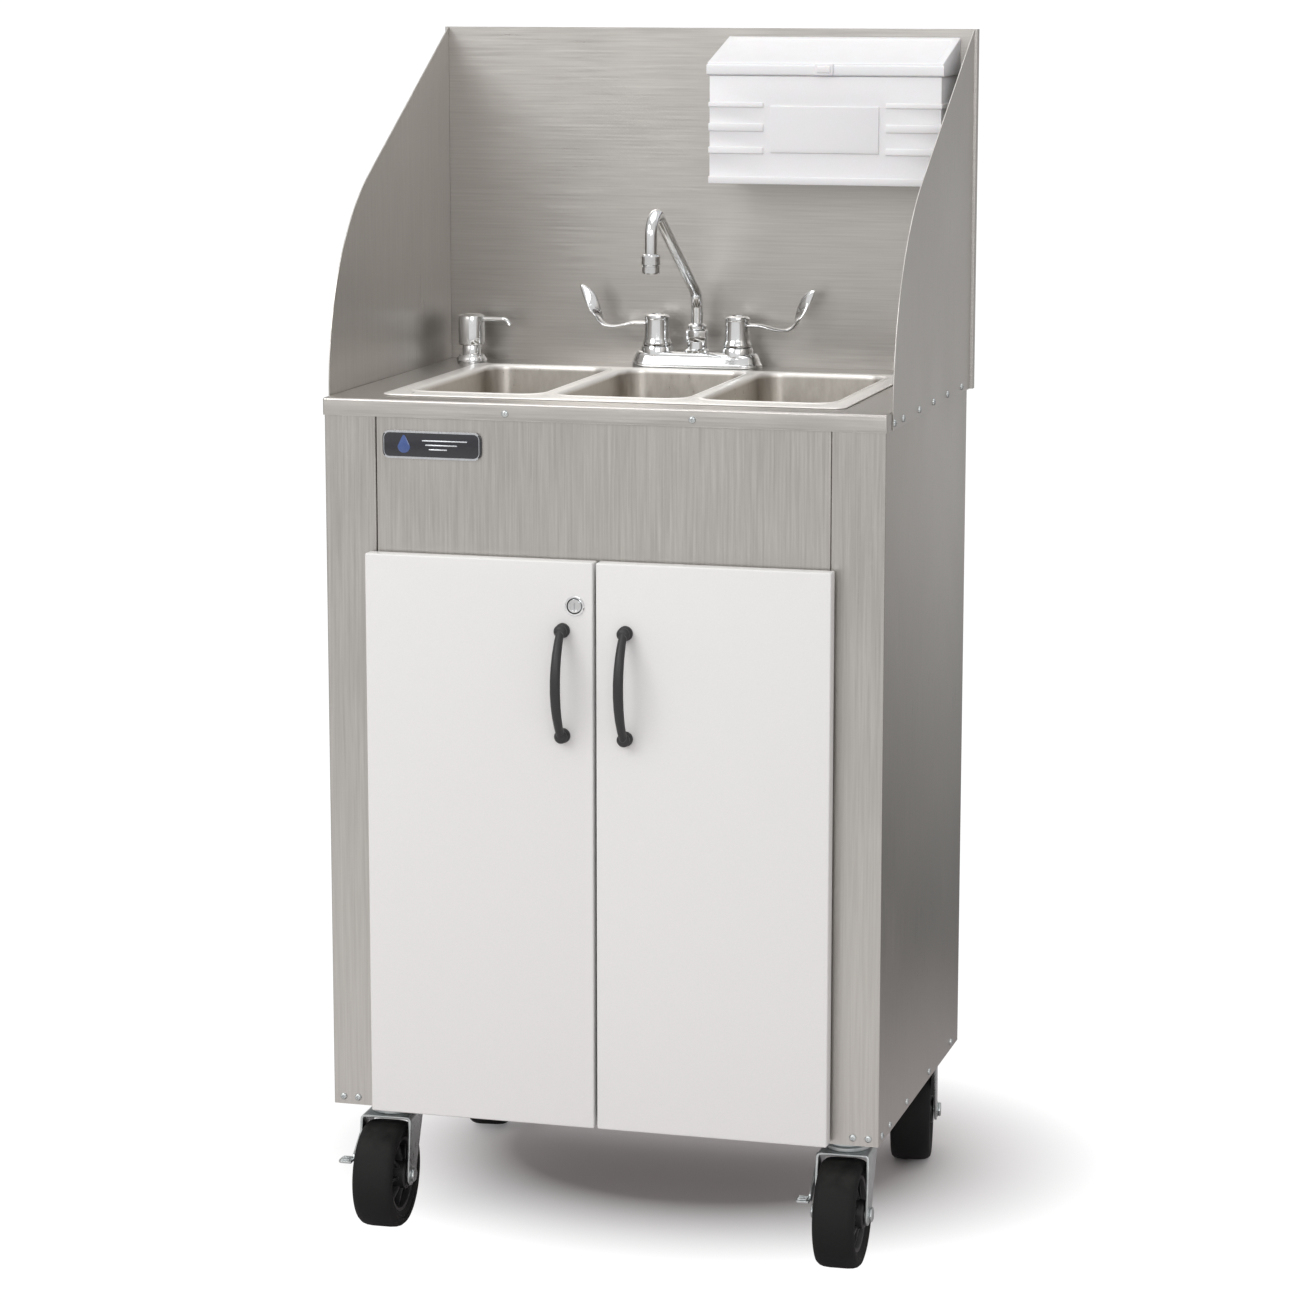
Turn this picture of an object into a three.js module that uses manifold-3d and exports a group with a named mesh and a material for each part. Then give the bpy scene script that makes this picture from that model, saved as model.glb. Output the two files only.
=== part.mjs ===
// Portable hand-wash sink: a stainless cabinet on four casters, with three basins, splash guards, a two-handle
// faucet, a soap pump, a towel dispenser and its own water tanks, pump and heater.
// Millimetres. +X is to the right of a person facing the doors, -Y is the front and +Z is up.
import * as THREE from "three";
import { mergeVertices } from "three/addons/utils/BufferGeometryUtils.js";
import Module from "manifold-3d";

const wasm = await Module();
wasm.setup();

// ---------- driving sizes ----------
const SHEET = 1.2; // stainless sheet
const GAP = 0.3; // between pieces that touch
const ROUND = 20; // sides of a round piece
const ARC = 3; // half the sides of a quarter-round corner

const counter = { width: 660, depth: 467.5, top: 993, lip: 20 };
const cabinet = { bottom: 156, stile: 61.5, stileReturn: 40, backFlange: 25 };
const floorPan = { flange: 25 };
const fascia = { height: 205, recess: 1.5, sideReturn: 15 };
const guard = { rise: 411, frontSetback: 24.5, arc: 280 };
const backsplash = { overhang: 3.8, hem: 10 };
const badge = { width: 118, height: 32, thick: 2.5, fromStile: 9, below: 51, corner: 8 };

const sink = { frontMargin: 38, deck: 68, sideMargin: 57, plate: 1.5, corner: 14, cutClear: 4 };
const basin = { front: 36, back: 16, side: 22, divider: 14, corner: 28, depth: 150, wall: 1.2, taper: 8 };
const drain = { hole: 21, tail: 19, tailWall: 2.5, flange: 30, tailLength: 55, socketWall: 3 };
const manifold = { drop: 88, overrun: 22, bore: 16 };

const faucet = { centres: 101.6, width: 163, depth: 46, height: 20, shank: 10, shankLength: 57 };
const hub = { base: 18.5, top: 14.5, seat: 7, height: 38 };
const blade = { reach: 79, dip: 8, tipRise: 45, lean: 12, thick: 5, width: 21 };
const spout = { nut: 13, nutHeight: 27, tube: 7, post: 42, rise: 165, reach: 210, bend: 20, outlet: 74, tip: 11 };

const soap = { fromSide: 40, collar: 19, collarHeight: 8, sleeve: 10.5, sleeveHeight: 24.5, stem: 8 };
const soapHead = { travel: 12, cap: 16.5, capHeight: 23, nozzle: 3, reach: 52, tipDrop: 8 };
const bottle = { radius: 30, height: 115, neck: 12, below: 18 };

const towel = { width: 286, depth: 105, bottom: 229, front: 128, fromGuard: 15, wall: 2.5, slot: 26, slotEnds: 38 };
const towelLid = { band: 15, back: 44 };

const door = { thick: 19, gap: 3.8, standOff: 4.7, overlap: 6.2, bottomUp: 1.8, top: 174.6 };
const pull = { fromGap: 36.9, down: 78.5, centres: 121, boss: 8.5, bossHeight: 6, grip: 10, gripThick: 7, bow: 35.5 };
const lock = { fromGap: 22.8, down: 50, hole: 9.3, barrel: 8.5, proud: 2, behind: 16, cam: 34, camWidth: 14, camThick: 3 };
const hinge = { fromEdge: 22.5, fromEnd: 100, cup: 17.5, cupDepth: 11.5, flange: 1, flangeWidth: 30, flangeHeight: 52 };
const hingeArm = { plate: 2, plateHeight: 50, plateDepth: 34, arm: 12, armHeight: 18, behind: 1 };

const caster = { insetX: 50.5, insetFront: 67, insetBack: 38, plateX: 95, plateY: 66, plate: 3 };
const swivel = { trail: 32, crown: 26, crownHeight: 14 };
const wheel = { radius: 63.5, width: 50, hubWidth: 54, hubRadius: 17, bore: 5.3, rim: 44, dish: 6, sides: 32 };
const fork = { thick: 3, clearance: 3.6, shoulder: 4, legTop: 52, legEnd: 26, axle: 5, nut: 9, nutHeight: 5 };
const pedal = { thick: 3, offset: 1.3, width: 12, below: 12.6, drop: 36, reach: 52, tab: 20, tabWidth: 14 };
const casterTurn = { front_left: 182, front_right: 182, rear_left: 8, rear_right: 9 };

const wasteTank = { wall: 27, centre: 30, front: 85, back: 95, height: 340, corner: 34, neck: 30, mouth: 22, neckUp: 22 };
const freshTank = { wall: 47, centre: 40, front: 85, back: 125, corner: 34, neck: 26, neckUp: 24, neckIn: 45 };
const heater = { width: 220, depth: 218, height: 210, fromWall: 47, corner: 26, under: 16, tankGap: 14, nipple: 9 };
const pump = { motor: 30, motorLength: 95, head: 62, fromWall: 62, fromBack: 44, foot: 10, lift: 4, nipple: 8 };
const controlBox = { width: 120, depth: 62, height: 110, fromWall: 26, down: 300, corner: 8, inlet: 18 };
const rocker = { width: 24, height: 16, thick: 9, proud: 3, clearance: 0.6, tilt: 8 };
const hose = { radius: 7, steps: 22, sides: 8 };

// ---------- places worked out from the sizes ----------
const halfWidth = counter.width / 2;
const cabinetHalf = halfWidth - SHEET - GAP;
const insideHalf = cabinetHalf - SHEET - GAP;
const front = -(counter.depth / 2 - (SHEET + GAP) / 2);
const back = -front;
const insideBack = back - 2 * (SHEET + GAP);
const counterFront = front - GAP - SHEET;
const counterUnder = counter.top - SHEET;
const lipBottom = counter.top - counter.lip;
const cabinetTop = counterUnder - GAP;
const floorTop = cabinet.bottom + SHEET;
const stileInner = cabinetHalf - cabinet.stile;
const fasciaFront = front + fascia.recess;
const guardX = halfWidth + GAP;
const guardFront = counterFront + guard.frontSetback;
const guardTop = counter.top + guard.rise;
const splashFront = back + GAP;

const sinkFront = counterFront + sink.frontMargin;
const sinkBack = back - sink.deck;
const sinkHalf = halfWidth - sink.sideMargin;
const basinFront = sinkFront + basin.front;
const basinBack = sinkBack - basin.back;
const basinY = (basinFront + basinBack) / 2;
const basinWidth = (2 * (sinkHalf - basin.side) - 2 * basin.divider) / 3;
const basinPitch = basinWidth + basin.divider;
const sinkUnder = counter.top + GAP;
const basinBottom = sinkUnder - basin.depth;
const deckY = sinkBack + sink.deck * 0.4;
const tailBottom = basinBottom - drain.tailLength;
const pipeZ = basinBottom - manifold.drop;
const pipeRadius = drain.tail;

const doorBack = front - door.standOff;
const doorFront = doorBack - door.thick;
const doorOuter = stileInner + door.overlap;
const doorBottom = cabinet.bottom + door.bottomUp;
const doorTop = counter.top - door.top;
const hingeZ = [doorBottom + hinge.fromEnd, doorTop - hinge.fromEnd];
const lockZ = doorTop - lock.down;

const bodyTop = counter.top + GAP + faucet.height;
const hubSeat = bodyTop + hub.seat;
const soapX = -halfWidth + soap.fromSide;
const towelRight = halfWidth - towel.fromGuard;
const towelLeft = towelRight - towel.width;
const towelBack = splashFront - GAP;
const towelFront = towelBack - towel.depth;
const towelBottom = counter.top + towel.bottom;
const towelTop = towelBottom + towel.front;

const wasteLeft = -insideHalf + wasteTank.wall;
const wasteRight = -wasteTank.centre;
const wasteX = -basinPitch;
const wasteTop = floorTop + GAP + wasteTank.height;
const heaterTop = pipeZ - pipeRadius - heater.under;
const heaterBottom = heaterTop - heater.height;
const heaterRight = insideHalf - heater.fromWall;
const heaterLeft = heaterRight - heater.width;
const heaterBack = insideBack - GAP;
const heaterY = heaterBack - heater.depth / 2;
const freshTop = heaterBottom - heater.tankGap;
const pumpY = insideBack - pump.fromBack;
const pumpZ = floorTop + GAP + pump.foot + pump.motor + pump.lift;
const pumpRight = insideHalf - pump.fromWall;

// ---------- finishes ----------
const finish = (color, roughness, metalness) => new THREE.MeshStandardMaterial({ color, roughness, metalness });
const brushedSteel = finish(0xb4b0aa, 0.38, 1);
const satinSteel = finish(0xa49c92, 0.3, 1);
const chrome = finish(0xe2e4e6, 0.08, 1);
const whiteLaminate = finish(0xe4e4e2, 0.35, 0);
const blackMetal = finish(0x1f1f20, 0.4, 0.2);
const whitePlastic = finish(0xe8e7ea, 0.45, 0);
const greyPlastic = finish(0x8b9096, 0.5, 0);
const naturalPlastic = finish(0xdfe6ea, 0.5, 0);
const blackPlastic = finish(0x232427, 0.5, 0);
const blackRubber = finish(0x242424, 0.8, 0);
const zinc = finish(0xa3acad, 0.35, 1);
const enamel = finish(0xeeeeea, 0.3, 0);

// ---------- solids ----------
function solid(shape) {
  if (shape instanceof wasm.Manifold) return shape;
  const bare = new THREE.BufferGeometry().setAttribute("position", shape.getAttribute("position"));
  bare.setIndex(shape.index);
  const merged = mergeVertices(bare, 1e-4);
  const corner = merged.index.array;
  const triangles = [];
  for (let i = 0; i < corner.length; i += 3) {
    const [a, b, c] = [corner[i], corner[i + 1], corner[i + 2]];
    if (a !== b && b !== c && c !== a) triangles.push(a, b, c);
  }
  const vertProperties = new Float32Array(merged.attributes.position.array);
  const made = (order) =>
    new wasm.Manifold(new wasm.Mesh({ numProp: 3, vertProperties, triVerts: new Uint32Array(order) }));
  const facing = made(triangles);
  return facing.volume() > 0 ? facing : made(triangles.reverse());
}

const join = (...shapes) => shapes.map(solid).reduce((a, b) => a.add(b));
const cut = (shape, ...tools) => tools.map(solid).reduce((a, b) => a.subtract(b), solid(shape));

function geometryOf(shape) {
  const mesh = solid(shape).getMesh();
  const geometry = new THREE.BufferGeometry();
  geometry.setAttribute("position", new THREE.BufferAttribute(new Float32Array(mesh.vertProperties), 3));
  geometry.setIndex(new THREE.BufferAttribute(new Uint32Array(mesh.triVerts), 1));
  geometry.computeVertexNormals();
  return geometry;
}

function piece(parent, name, shape, material) {
  const mesh = new THREE.Mesh(geometryOf(shape), material);
  mesh.name = name;
  parent.add(mesh);
  return mesh;
}

function group(parent, x = 0, y = 0, z = 0) {
  const made = new THREE.Group();
  made.position.set(x, y, z);
  parent.add(made);
  return made;
}

const box = (x0, x1, y0, y1, z0, z1) =>
  new THREE.BoxGeometry(x1 - x0, y1 - y0, z1 - z0).translate((x0 + x1) / 2, (y0 + y1) / 2, (z0 + z1) / 2);
const points = (pairs) => pairs.map(([a, b]) => new THREE.Vector2(a, b));

// An outline drawn in X and Y, pulled up from z0 to z1.
const plateZ = (outline, z0, z1) =>
  new THREE.ExtrudeGeometry(outline, { depth: z1 - z0, bevelEnabled: false, curveSegments: ARC }).translate(0, 0, z0);

// An outline drawn in Y and Z, pulled from x0 to x1.
const plateX = (outline, x0, x1, arc = ARC) =>
  new THREE.ExtrudeGeometry(outline, { depth: x1 - x0, bevelEnabled: false, curveSegments: arc })
    .applyMatrix4(new THREE.Matrix4().set(0, 0, 1, 0, 1, 0, 0, 0, 0, 1, 0, 0, 0, 0, 0, 1))
    .translate(x0, 0, 0);

// An outline drawn in X and Z, pulled from y0 to y1.
const plateY = (outline, y0, y1) =>
  new THREE.ExtrudeGeometry(outline, { depth: y1 - y0, bevelEnabled: false, curveSegments: ARC })
    .rotateX(Math.PI / 2)
    .translate(0, y1, 0);

// A turned piece about the Z axis, from pairs of radius and height.
const turned = (profile, sides = ROUND) => new THREE.LatheGeometry(points(profile), sides).rotateX(Math.PI / 2);
const rod = (radius, z0, z1, sides = ROUND) =>
  new THREE.CylinderGeometry(radius, radius, z1 - z0, sides).rotateX(Math.PI / 2).translate(0, 0, (z0 + z1) / 2);
const rodX = (radius, x0, x1, y, z, sides = ROUND) =>
  rod(radius, 0, x1 - x0, sides).rotateY(Math.PI / 2).translate(x0, y, z);
const rodY = (radius, y0, y1, x, z, sides = ROUND) =>
  rod(radius, 0, y1 - y0, sides).rotateX(-Math.PI / 2).translate(x, y0, z);

// The section of a bent sheet: its outer face follows the points and its thickness lies to the left of them.
function bentSheet(pairs, thickness) {
  const path = points(pairs);
  const left = (a, b) => new THREE.Vector2(a.y - b.y, b.x - a.x).normalize();
  const inner = path.map((p, i) => {
    const before = left(path[Math.max(i - 1, 0)], path[Math.max(i, 1)]);
    const after = left(path[Math.min(i, path.length - 2)], path[Math.min(i + 1, path.length - 1)]);
    const mitre = before.clone().add(after).normalize();
    return p.clone().addScaledVector(mitre, thickness / mitre.dot(before));
  });
  return new THREE.Shape([...path, ...inner.reverse()]);
}

function roundedRectangle(x0, x1, y0, y1, radius) {
  const shape = new THREE.Shape();
  shape.absarc(x1 - radius, y0 + radius, radius, -Math.PI / 2, 0);
  shape.absarc(x1 - radius, y1 - radius, radius, 0, Math.PI / 2);
  shape.absarc(x0 + radius, y1 - radius, radius, Math.PI / 2, Math.PI);
  shape.absarc(x0 + radius, y0 + radius, radius, Math.PI, Math.PI * 1.5);
  return shape;
}

// A closed skin over rounded rectangles stacked in Z; each level is { z, x, y, radius } with half sizes x and y.
function stacked(levels, centreX, centreY, cornerSteps = 3) {
  const position = [];
  for (const { z, x, y, radius } of levels) {
    for (let quarter = 0; quarter < 4; quarter++) {
      const sideX = quarter === 0 || quarter === 3 ? 1 : -1;
      const sideY = quarter < 2 ? 1 : -1;
      for (let step = 0; step <= cornerSteps; step++) {
        const angle = (quarter + step / cornerSteps) * (Math.PI / 2);
        position.push(centreX + sideX * (x - radius) + radius * Math.cos(angle));
        position.push(centreY + sideY * (y - radius) + radius * Math.sin(angle), z);
      }
    }
  }
  const ring = 4 * (cornerSteps + 1);
  const last = (levels.length - 1) * ring;
  const bottomCentre = levels.length * ring;
  position.push(centreX, centreY, levels[0].z, centreX, centreY, levels.at(-1).z);
  const index = [];
  for (let i = 0; i < ring; i++) {
    const next = (i + 1) % ring;
    for (let start = 0; start < last; start += ring) {
      index.push(start + i, start + next, start + ring + next);
      index.push(start + i, start + ring + next, start + ring + i);
    }
    index.push(bottomCentre, next, i, bottomCentre + 1, last + i, last + next);
  }
  const skin = new THREE.BufferGeometry();
  skin.setAttribute("position", new THREE.Float32BufferAttribute(position, 3));
  return skin.setIndex(index);
}

// A block with rounded upright corners and softened top and bottom edges.
function softBlock(x0, x1, y0, y1, z0, z1, corner, edge) {
  const level = (z, inset) => ({
    z,
    x: (x1 - x0) / 2 - inset,
    y: (y1 - y0) / 2 - inset,
    radius: corner - inset * 0.5,
  });
  const levels = [level(z0, edge), level(z0 + edge, 0), level(z1 - edge, 0), level(z1, edge)];
  return stacked(levels, (x0 + x1) / 2, (y0 + y1) / 2);
}

function tube(route, radius, steps, sides) {
  const section = new THREE.Shape();
  section.absarc(0, 0, radius, 0, Math.PI * 2);
  const extrudePath = new THREE.CatmullRomCurve3(route.map((p) => new THREE.Vector3(...p)), false, "centripetal");
  return new THREE.ExtrudeGeometry(section, { steps, curveSegments: sides / 2, bevelEnabled: false, extrudePath });
}

const sides = [
  ["left", -1],
  ["right", 1],
];

// ---------- cabinet ----------
function addSidePanels(parent) {
  for (const [side, sign] of sides) {
    const path = [
      [stileInner, front + cabinet.stileReturn],
      [stileInner, front],
      [cabinetHalf, front],
      [cabinetHalf, back],
      [cabinetHalf - cabinet.backFlange, back],
    ].map(([x, y]) => [sign * x, y]);
    const panel = plateZ(bentSheet(path, sign * SHEET), cabinet.bottom, cabinetTop);
    // The stile's return stops above the floor pan's flange.
    const [x0, x1] = sign < 0 ? [-stileInner - 2 * SHEET, 1 - stileInner] : [stileInner - 1, stileInner + 2 * SHEET];
    const notch = box(x0, x1, front + SHEET, insideBack, 0, cabinet.bottom + floorPan.flange + GAP);
    piece(parent, `side_panel_${side}`, cut(panel, notch), brushedSteel);
  }
}

function addFloorPan(parent) {
  const [y0, y1] = [front + SHEET + GAP, insideBack - GAP];
  const tray = box(-insideHalf, insideHalf, y0, y1, cabinet.bottom, cabinet.bottom + floorPan.flange);
  const hollow = box(-insideHalf + SHEET, insideHalf - SHEET, y0 + SHEET, y1 - SHEET, floorTop, cabinetTop);
  piece(parent, "floor_pan", cut(tray, hollow), satinSteel);
}

function addBackPanel(parent) {
  const plate = box(-insideHalf, insideHalf, insideBack, insideBack + SHEET, cabinet.bottom, cabinetTop);
  const inletX = -insideHalf + controlBox.fromWall + controlBox.width / 2;
  const inletZ = counter.top - controlBox.down - controlBox.height / 2;
  const inlet = rodY(controlBox.inlet + GAP, insideBack - 1, insideBack + SHEET + 1, inletX, inletZ);
  piece(parent, "back_panel", cut(plate, inlet), satinSteel);
}

function addFascia(parent) {
  const half = stileInner - GAP;
  const section = bentSheet(
    [
      [-half, fasciaFront + fascia.sideReturn],
      [-half, fasciaFront],
      [half, fasciaFront],
      [half, fasciaFront + fascia.sideReturn],
    ],
    SHEET,
  );
  piece(parent, "fascia_panel", plateZ(section, counter.top - fascia.height, cabinetTop), brushedSteel);
}

function addBadge(parent) {
  const x0 = -stileInner + badge.fromStile;
  const z1 = counter.top - badge.below + badge.height / 2;
  const outline = roundedRectangle(x0, x0 + badge.width, z1 - badge.height, z1, badge.corner);
  piece(parent, "name_badge", plateY(outline, fasciaFront - GAP - badge.thick, fasciaFront - GAP), blackPlastic);
}

// ---------- counter, basins and drains ----------
function addCounter(parent) {
  const hollow = box(-halfWidth + SHEET, halfWidth - SHEET, counterFront + SHEET, back + 1, 0, counterUnder);
  const sheet = box(-halfWidth, halfWidth, counterFront, back, lipBottom, counter.top);
  const opening = roundedRectangle(
    -(sinkHalf - basin.side + sink.cutClear),
    sinkHalf - basin.side + sink.cutClear,
    basinFront - sink.cutClear,
    basinBack + sink.cutClear,
    basin.corner,
  );
  const tap = (x) => rod(faucet.shank + 1.5, lipBottom, counter.top + 1).translate(x, deckY, 0);
  const soapHole = rod(bottle.neck + 1, lipBottom, counter.top + 1).translate(soapX, deckY, 0);
  const holes = [tap(-faucet.centres / 2), tap(faucet.centres / 2), soapHole];
  piece(parent, "counter_top", cut(sheet, hollow, plateZ(opening, lipBottom, counter.top + 1), ...holes), brushedSteel);
}

// The hollow of one basin, or with a wall's thickness the outside of it.
function basinForm(x, wall, top) {
  const halfX = basinWidth / 2 + wall;
  const halfY = (basinBack - basinFront) / 2 + wall;
  const low = basinBottom - wall;
  const level = (z, inset) => ({ z, x: halfX - inset, y: halfY - inset, radius: basin.corner + wall - inset * 0.3 });
  const rounding = basin.taper * 2;
  const levels = [
    level(low, basin.taper + rounding),
    level(low + rounding * 0.3, basin.taper + rounding * 0.3),
    level(low + rounding, basin.taper),
    level(top, 0),
  ];
  return stacked(levels, x, basinY);
}

function addSink(parent) {
  const top = sinkUnder + sink.plate;
  const plate = plateZ(roundedRectangle(-sinkHalf, sinkHalf, sinkFront, sinkBack, sink.corner), sinkUnder, top);
  const centres = [-basinPitch, 0, basinPitch];
  const shells = centres.map((x) => basinForm(x, basin.wall, top));
  const hollows = centres.map((x) => basinForm(x, 0, top + 0.01));
  const holes = centres.map((x) => rod(drain.hole, basinBottom - 5, basinBottom + 5).translate(x, basinY, 0));
  piece(parent, "triple_sink", cut(join(plate, ...shells), ...hollows, ...holes), satinSteel);
}

function addDrains(parent) {
  const names = ["left", "middle", "right"];
  const seat = basinBottom + GAP;
  names.forEach((name, i) => {
    const inner = drain.tail - drain.tailWall;
    const profile = [
      [inner, tailBottom],
      [drain.tail, tailBottom],
      [drain.tail, seat],
      [drain.flange, seat],
      [drain.flange - 3, seat + 2],
      [inner, seat + 1],
      [inner, tailBottom],
    ];
    piece(parent, `basin_drain_${name}`, turned(profile).translate((i - 1) * basinPitch, basinY, 0), chrome);
  });
}

function addDrainManifold(parent) {
  const run = basinPitch + manifold.overrun;
  const socket = drain.tail + GAP;
  const socketTop = tailBottom + 8;
  const solids = [rodX(pipeRadius, -run, run, basinY, pipeZ)];
  const bores = [rodX(manifold.bore, -run - 1, run - 4, basinY, pipeZ)];
  for (const x of [-basinPitch, 0, basinPitch]) {
    solids.push(rod(socket + drain.socketWall, pipeZ, socketTop).translate(x, basinY, 0));
    bores.push(rod(manifold.bore, pipeZ, socketTop).translate(x, basinY, 0));
    bores.push(rod(socket, tailBottom - GAP, socketTop + 1).translate(x, basinY, 0));
  }
  const dropEnd = wasteTop + wasteTank.neckUp - 15;
  solids.push(rod(pipeRadius, dropEnd, pipeZ).translate(wasteX, basinY, 0));
  bores.push(rod(manifold.bore, dropEnd - 1, pipeZ).translate(wasteX, basinY, 0));
  piece(parent, "drain_manifold", cut(join(...solids), ...bores), whitePlastic);
}

// ---------- splash guards ----------
function addGuards(parent) {
  // The front edge is an arc that starts upright at the counter; a straight edge leaves it for the top back corner.
  const centre = new THREE.Vector2(guardFront + guard.arc, counter.top);
  const corner = new THREE.Vector2(back, guardTop).sub(centre);
  const leave = corner.angle() + Math.acos(guard.arc / corner.length());
  const outline = new THREE.Shape();
  outline.moveTo(back, lipBottom);
  outline.lineTo(back, guardTop);
  outline.absarc(centre.x, centre.y, guard.arc, leave, Math.PI);
  outline.lineTo(guardFront, lipBottom);
  for (const [side, sign] of sides) {
    const [x0, x1] = sign < 0 ? [-guardX - SHEET, -guardX] : [guardX, guardX + SHEET];
    piece(parent, `splash_guard_${side}`, plateX(outline, x0, x1, 4 * ARC), brushedSteel);
  }
}

function addBacksplash(parent) {
  const half = guardX + SHEET + backsplash.overhang;
  const sheet = box(-half, half, splashFront, splashFront + SHEET, lipBottom, guardTop);
  const hem = box(-half, half, splashFront, splashFront + backsplash.hem, guardTop - SHEET, guardTop);
  const returns = sides.map(([, sign]) => {
    const [x0, x1] = sign < 0 ? [-half, -half + SHEET] : [half - SHEET, half];
    return box(x0, x1, splashFront, splashFront + backsplash.hem, counter.top, guardTop);
  });
  piece(parent, "backsplash", join(sheet, hem, ...returns), brushedSteel);
}

// ---------- faucet ----------
function addFaucet(parent) {
  const place = group(parent, 0, deckY, 0);
  const base = counter.top + GAP;
  const half = { x: faucet.width / 2, y: faucet.depth / 2 };
  const level = (z, inset) => ({ z, x: half.x - inset, y: half.y - inset, radius: half.y - inset - 1 });
  const shell = stacked([level(base, 0), level(base + 8, 0.5), level(bodyTop - 4, 5), level(bodyTop, 9)], 0, 0);
  const low = base - faucet.shankLength;
  const fixed = [-1, 1].flatMap((sign) => {
    const x = (sign * faucet.centres) / 2;
    return [
      rod(faucet.shank, low, base + 5).translate(x, 0, 0),
      rod(hub.base, bodyTop - 4, hubSeat).translate(x, 0, 0),
    ];
  });
  const nutTop = bodyTop + spout.nutHeight;
  piece(place, "faucet_body", join(shell, ...fixed, rod(spout.nut, bodyTop - 4, nutTop)), chrome);
  addHandle(place, "hot_handle", -1);
  addHandle(place, "cold_handle", 1);
  addSpout(place, nutTop + GAP);
}

function addHandle(place, name, sign) {
  const low = hubSeat + GAP;
  const high = low + hub.height;
  const barrel = turned([
    [0, low],
    [hub.base - 1.5, low],
    [hub.top, high - 4],
    [hub.top - 4, high],
    [0, high],
  ]);
  // The blade runs out level from the hub, dips a little and turns up into a leaning paddle.
  const armZ = high - 12;
  const path = [
    [0, armZ],
    [hub.top + 14, armZ],
    [blade.reach - 20, armZ - blade.dip],
    [blade.reach - 6, armZ - blade.dip + 5],
    [blade.reach + 3, armZ + 8],
    [blade.reach + blade.lean, armZ + blade.tipRise],
  ].map(([x, z]) => [sign * x, z]);
  const paddle = plateY(bentSheet(path, -sign * blade.thick), -blade.width / 2, blade.width / 2);
  const handle = join(barrel, paddle);
  piece(group(place, (sign * faucet.centres) / 2, 0, 0), name, handle, chrome);
}

function addSpout(place, low) {
  const top = bodyTop + spout.rise + spout.bend;
  const post = bodyTop + spout.post;
  const route = [
    [0, 0, low],
    [0, 0, post + 12],
    [0, -14, post + 32],
    [0, -(spout.reach - spout.bend * 2) * 0.5, (post + top) / 2 + 12],
    [0, -(spout.reach - spout.bend * 1.9), top - 14],
    [0, -(spout.reach - spout.bend * 0.9), top - 5],
    [0, -spout.reach, top - spout.bend - 4],
    [0, -spout.reach, top - spout.outlet + 20],
  ];
  const pipe = tube(route, spout.tube, 26, 12);
  const outletBottom = top - spout.outlet;
  const tip = rod(spout.tip, outletBottom, outletBottom + 22).translate(0, -spout.reach, 0);
  const foot = rod(spout.nut - 3, low, low + 6);
  piece(place, "faucet_spout", join(pipe, tip, foot), chrome);
}

// ---------- soap pump ----------
function addSoapPump(parent) {
  const place = group(parent, soapX, deckY, 0);
  const base = counter.top + GAP;
  const sleeveTop = base + soap.sleeveHeight;
  const bottleTop = counterUnder - bottle.below;
  const bottleBottom = bottleTop - bottle.height;
  const fixed = turned([
    [0, bottleBottom],
    [bottle.radius - 4, bottleBottom],
    [bottle.radius, bottleBottom + 4],
    [bottle.radius, bottleTop - 12],
    [bottle.neck, bottleTop],
    [bottle.neck, base],
    [soap.collar, base],
    [soap.collar - 1.5, base + soap.collarHeight],
    [soap.sleeve, base + soap.collarHeight],
    [soap.sleeve, sleeveTop],
    [soap.stem + GAP, sleeveTop],
    [soap.stem + GAP, base - 14],
    [0, base - 14],
  ]);
  piece(place, "soap_base", fixed, chrome);
  const capLow = sleeveTop + soapHead.travel + GAP;
  const capHigh = capLow + soapHead.capHeight;
  const head = turned([
    [0, base + 4],
    [soap.stem, base + 4],
    [soap.stem, capLow],
    [soapHead.cap - 2, capLow],
    [soapHead.cap, capLow + 3],
    [soapHead.cap, capHigh - 4],
    [soapHead.cap - 4, capHigh],
    [0, capHigh],
  ]);
  const spoutZ = capHigh - 6;
  const nozzle = rodX(soapHead.nozzle, 0, soapHead.reach, 0, spoutZ, 12);
  const tip = rod(soapHead.nozzle, spoutZ - soapHead.tipDrop, spoutZ + soapHead.nozzle - 0.5, 12);
  piece(place, "soap_pump_head", join(head, nozzle, tip.translate(soapHead.reach - 2, 0, 0)), chrome);
}

// ---------- towel dispenser ----------
function addTowelDispenser(parent) {
  const w = towel.wall;
  const shell = box(towelLeft, towelRight, towelFront, towelBack, towelBottom, towelTop);
  const hollow = box(towelLeft + w, towelRight - w, towelFront + w, towelBack - w, towelBottom + w, towelTop + 1);
  const middle = (towelFront + towelBack) / 2;
  const slot = box(
    towelLeft + towel.slotEnds,
    towelRight - towel.slotEnds,
    middle - towel.slot / 2,
    middle + towel.slot / 2,
    towelBottom - 1,
    towelBottom + w + 1,
  );
  piece(parent, "towel_case", cut(shell, hollow, slot), whitePlastic);

  const low = towelTop + GAP;
  const outer = [
    [towelFront, low],
    [towelBack, low],
    [towelBack, low + towelLid.back],
    [towelFront, low + towelLid.band],
  ];
  const inner = [
    [towelFront + w, low - 1],
    [towelBack - w, low - 1],
    [towelBack - w, low + towelLid.back - w],
    [towelFront + w, low + towelLid.band - w],
  ];
  const cover = plateX(new THREE.Shape(points(outer)), towelLeft, towelRight);
  const under = plateX(new THREE.Shape(points(inner)), towelLeft + w, towelRight - w);
  piece(parent, "towel_lid", cut(cover, under), whitePlastic);
}

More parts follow.
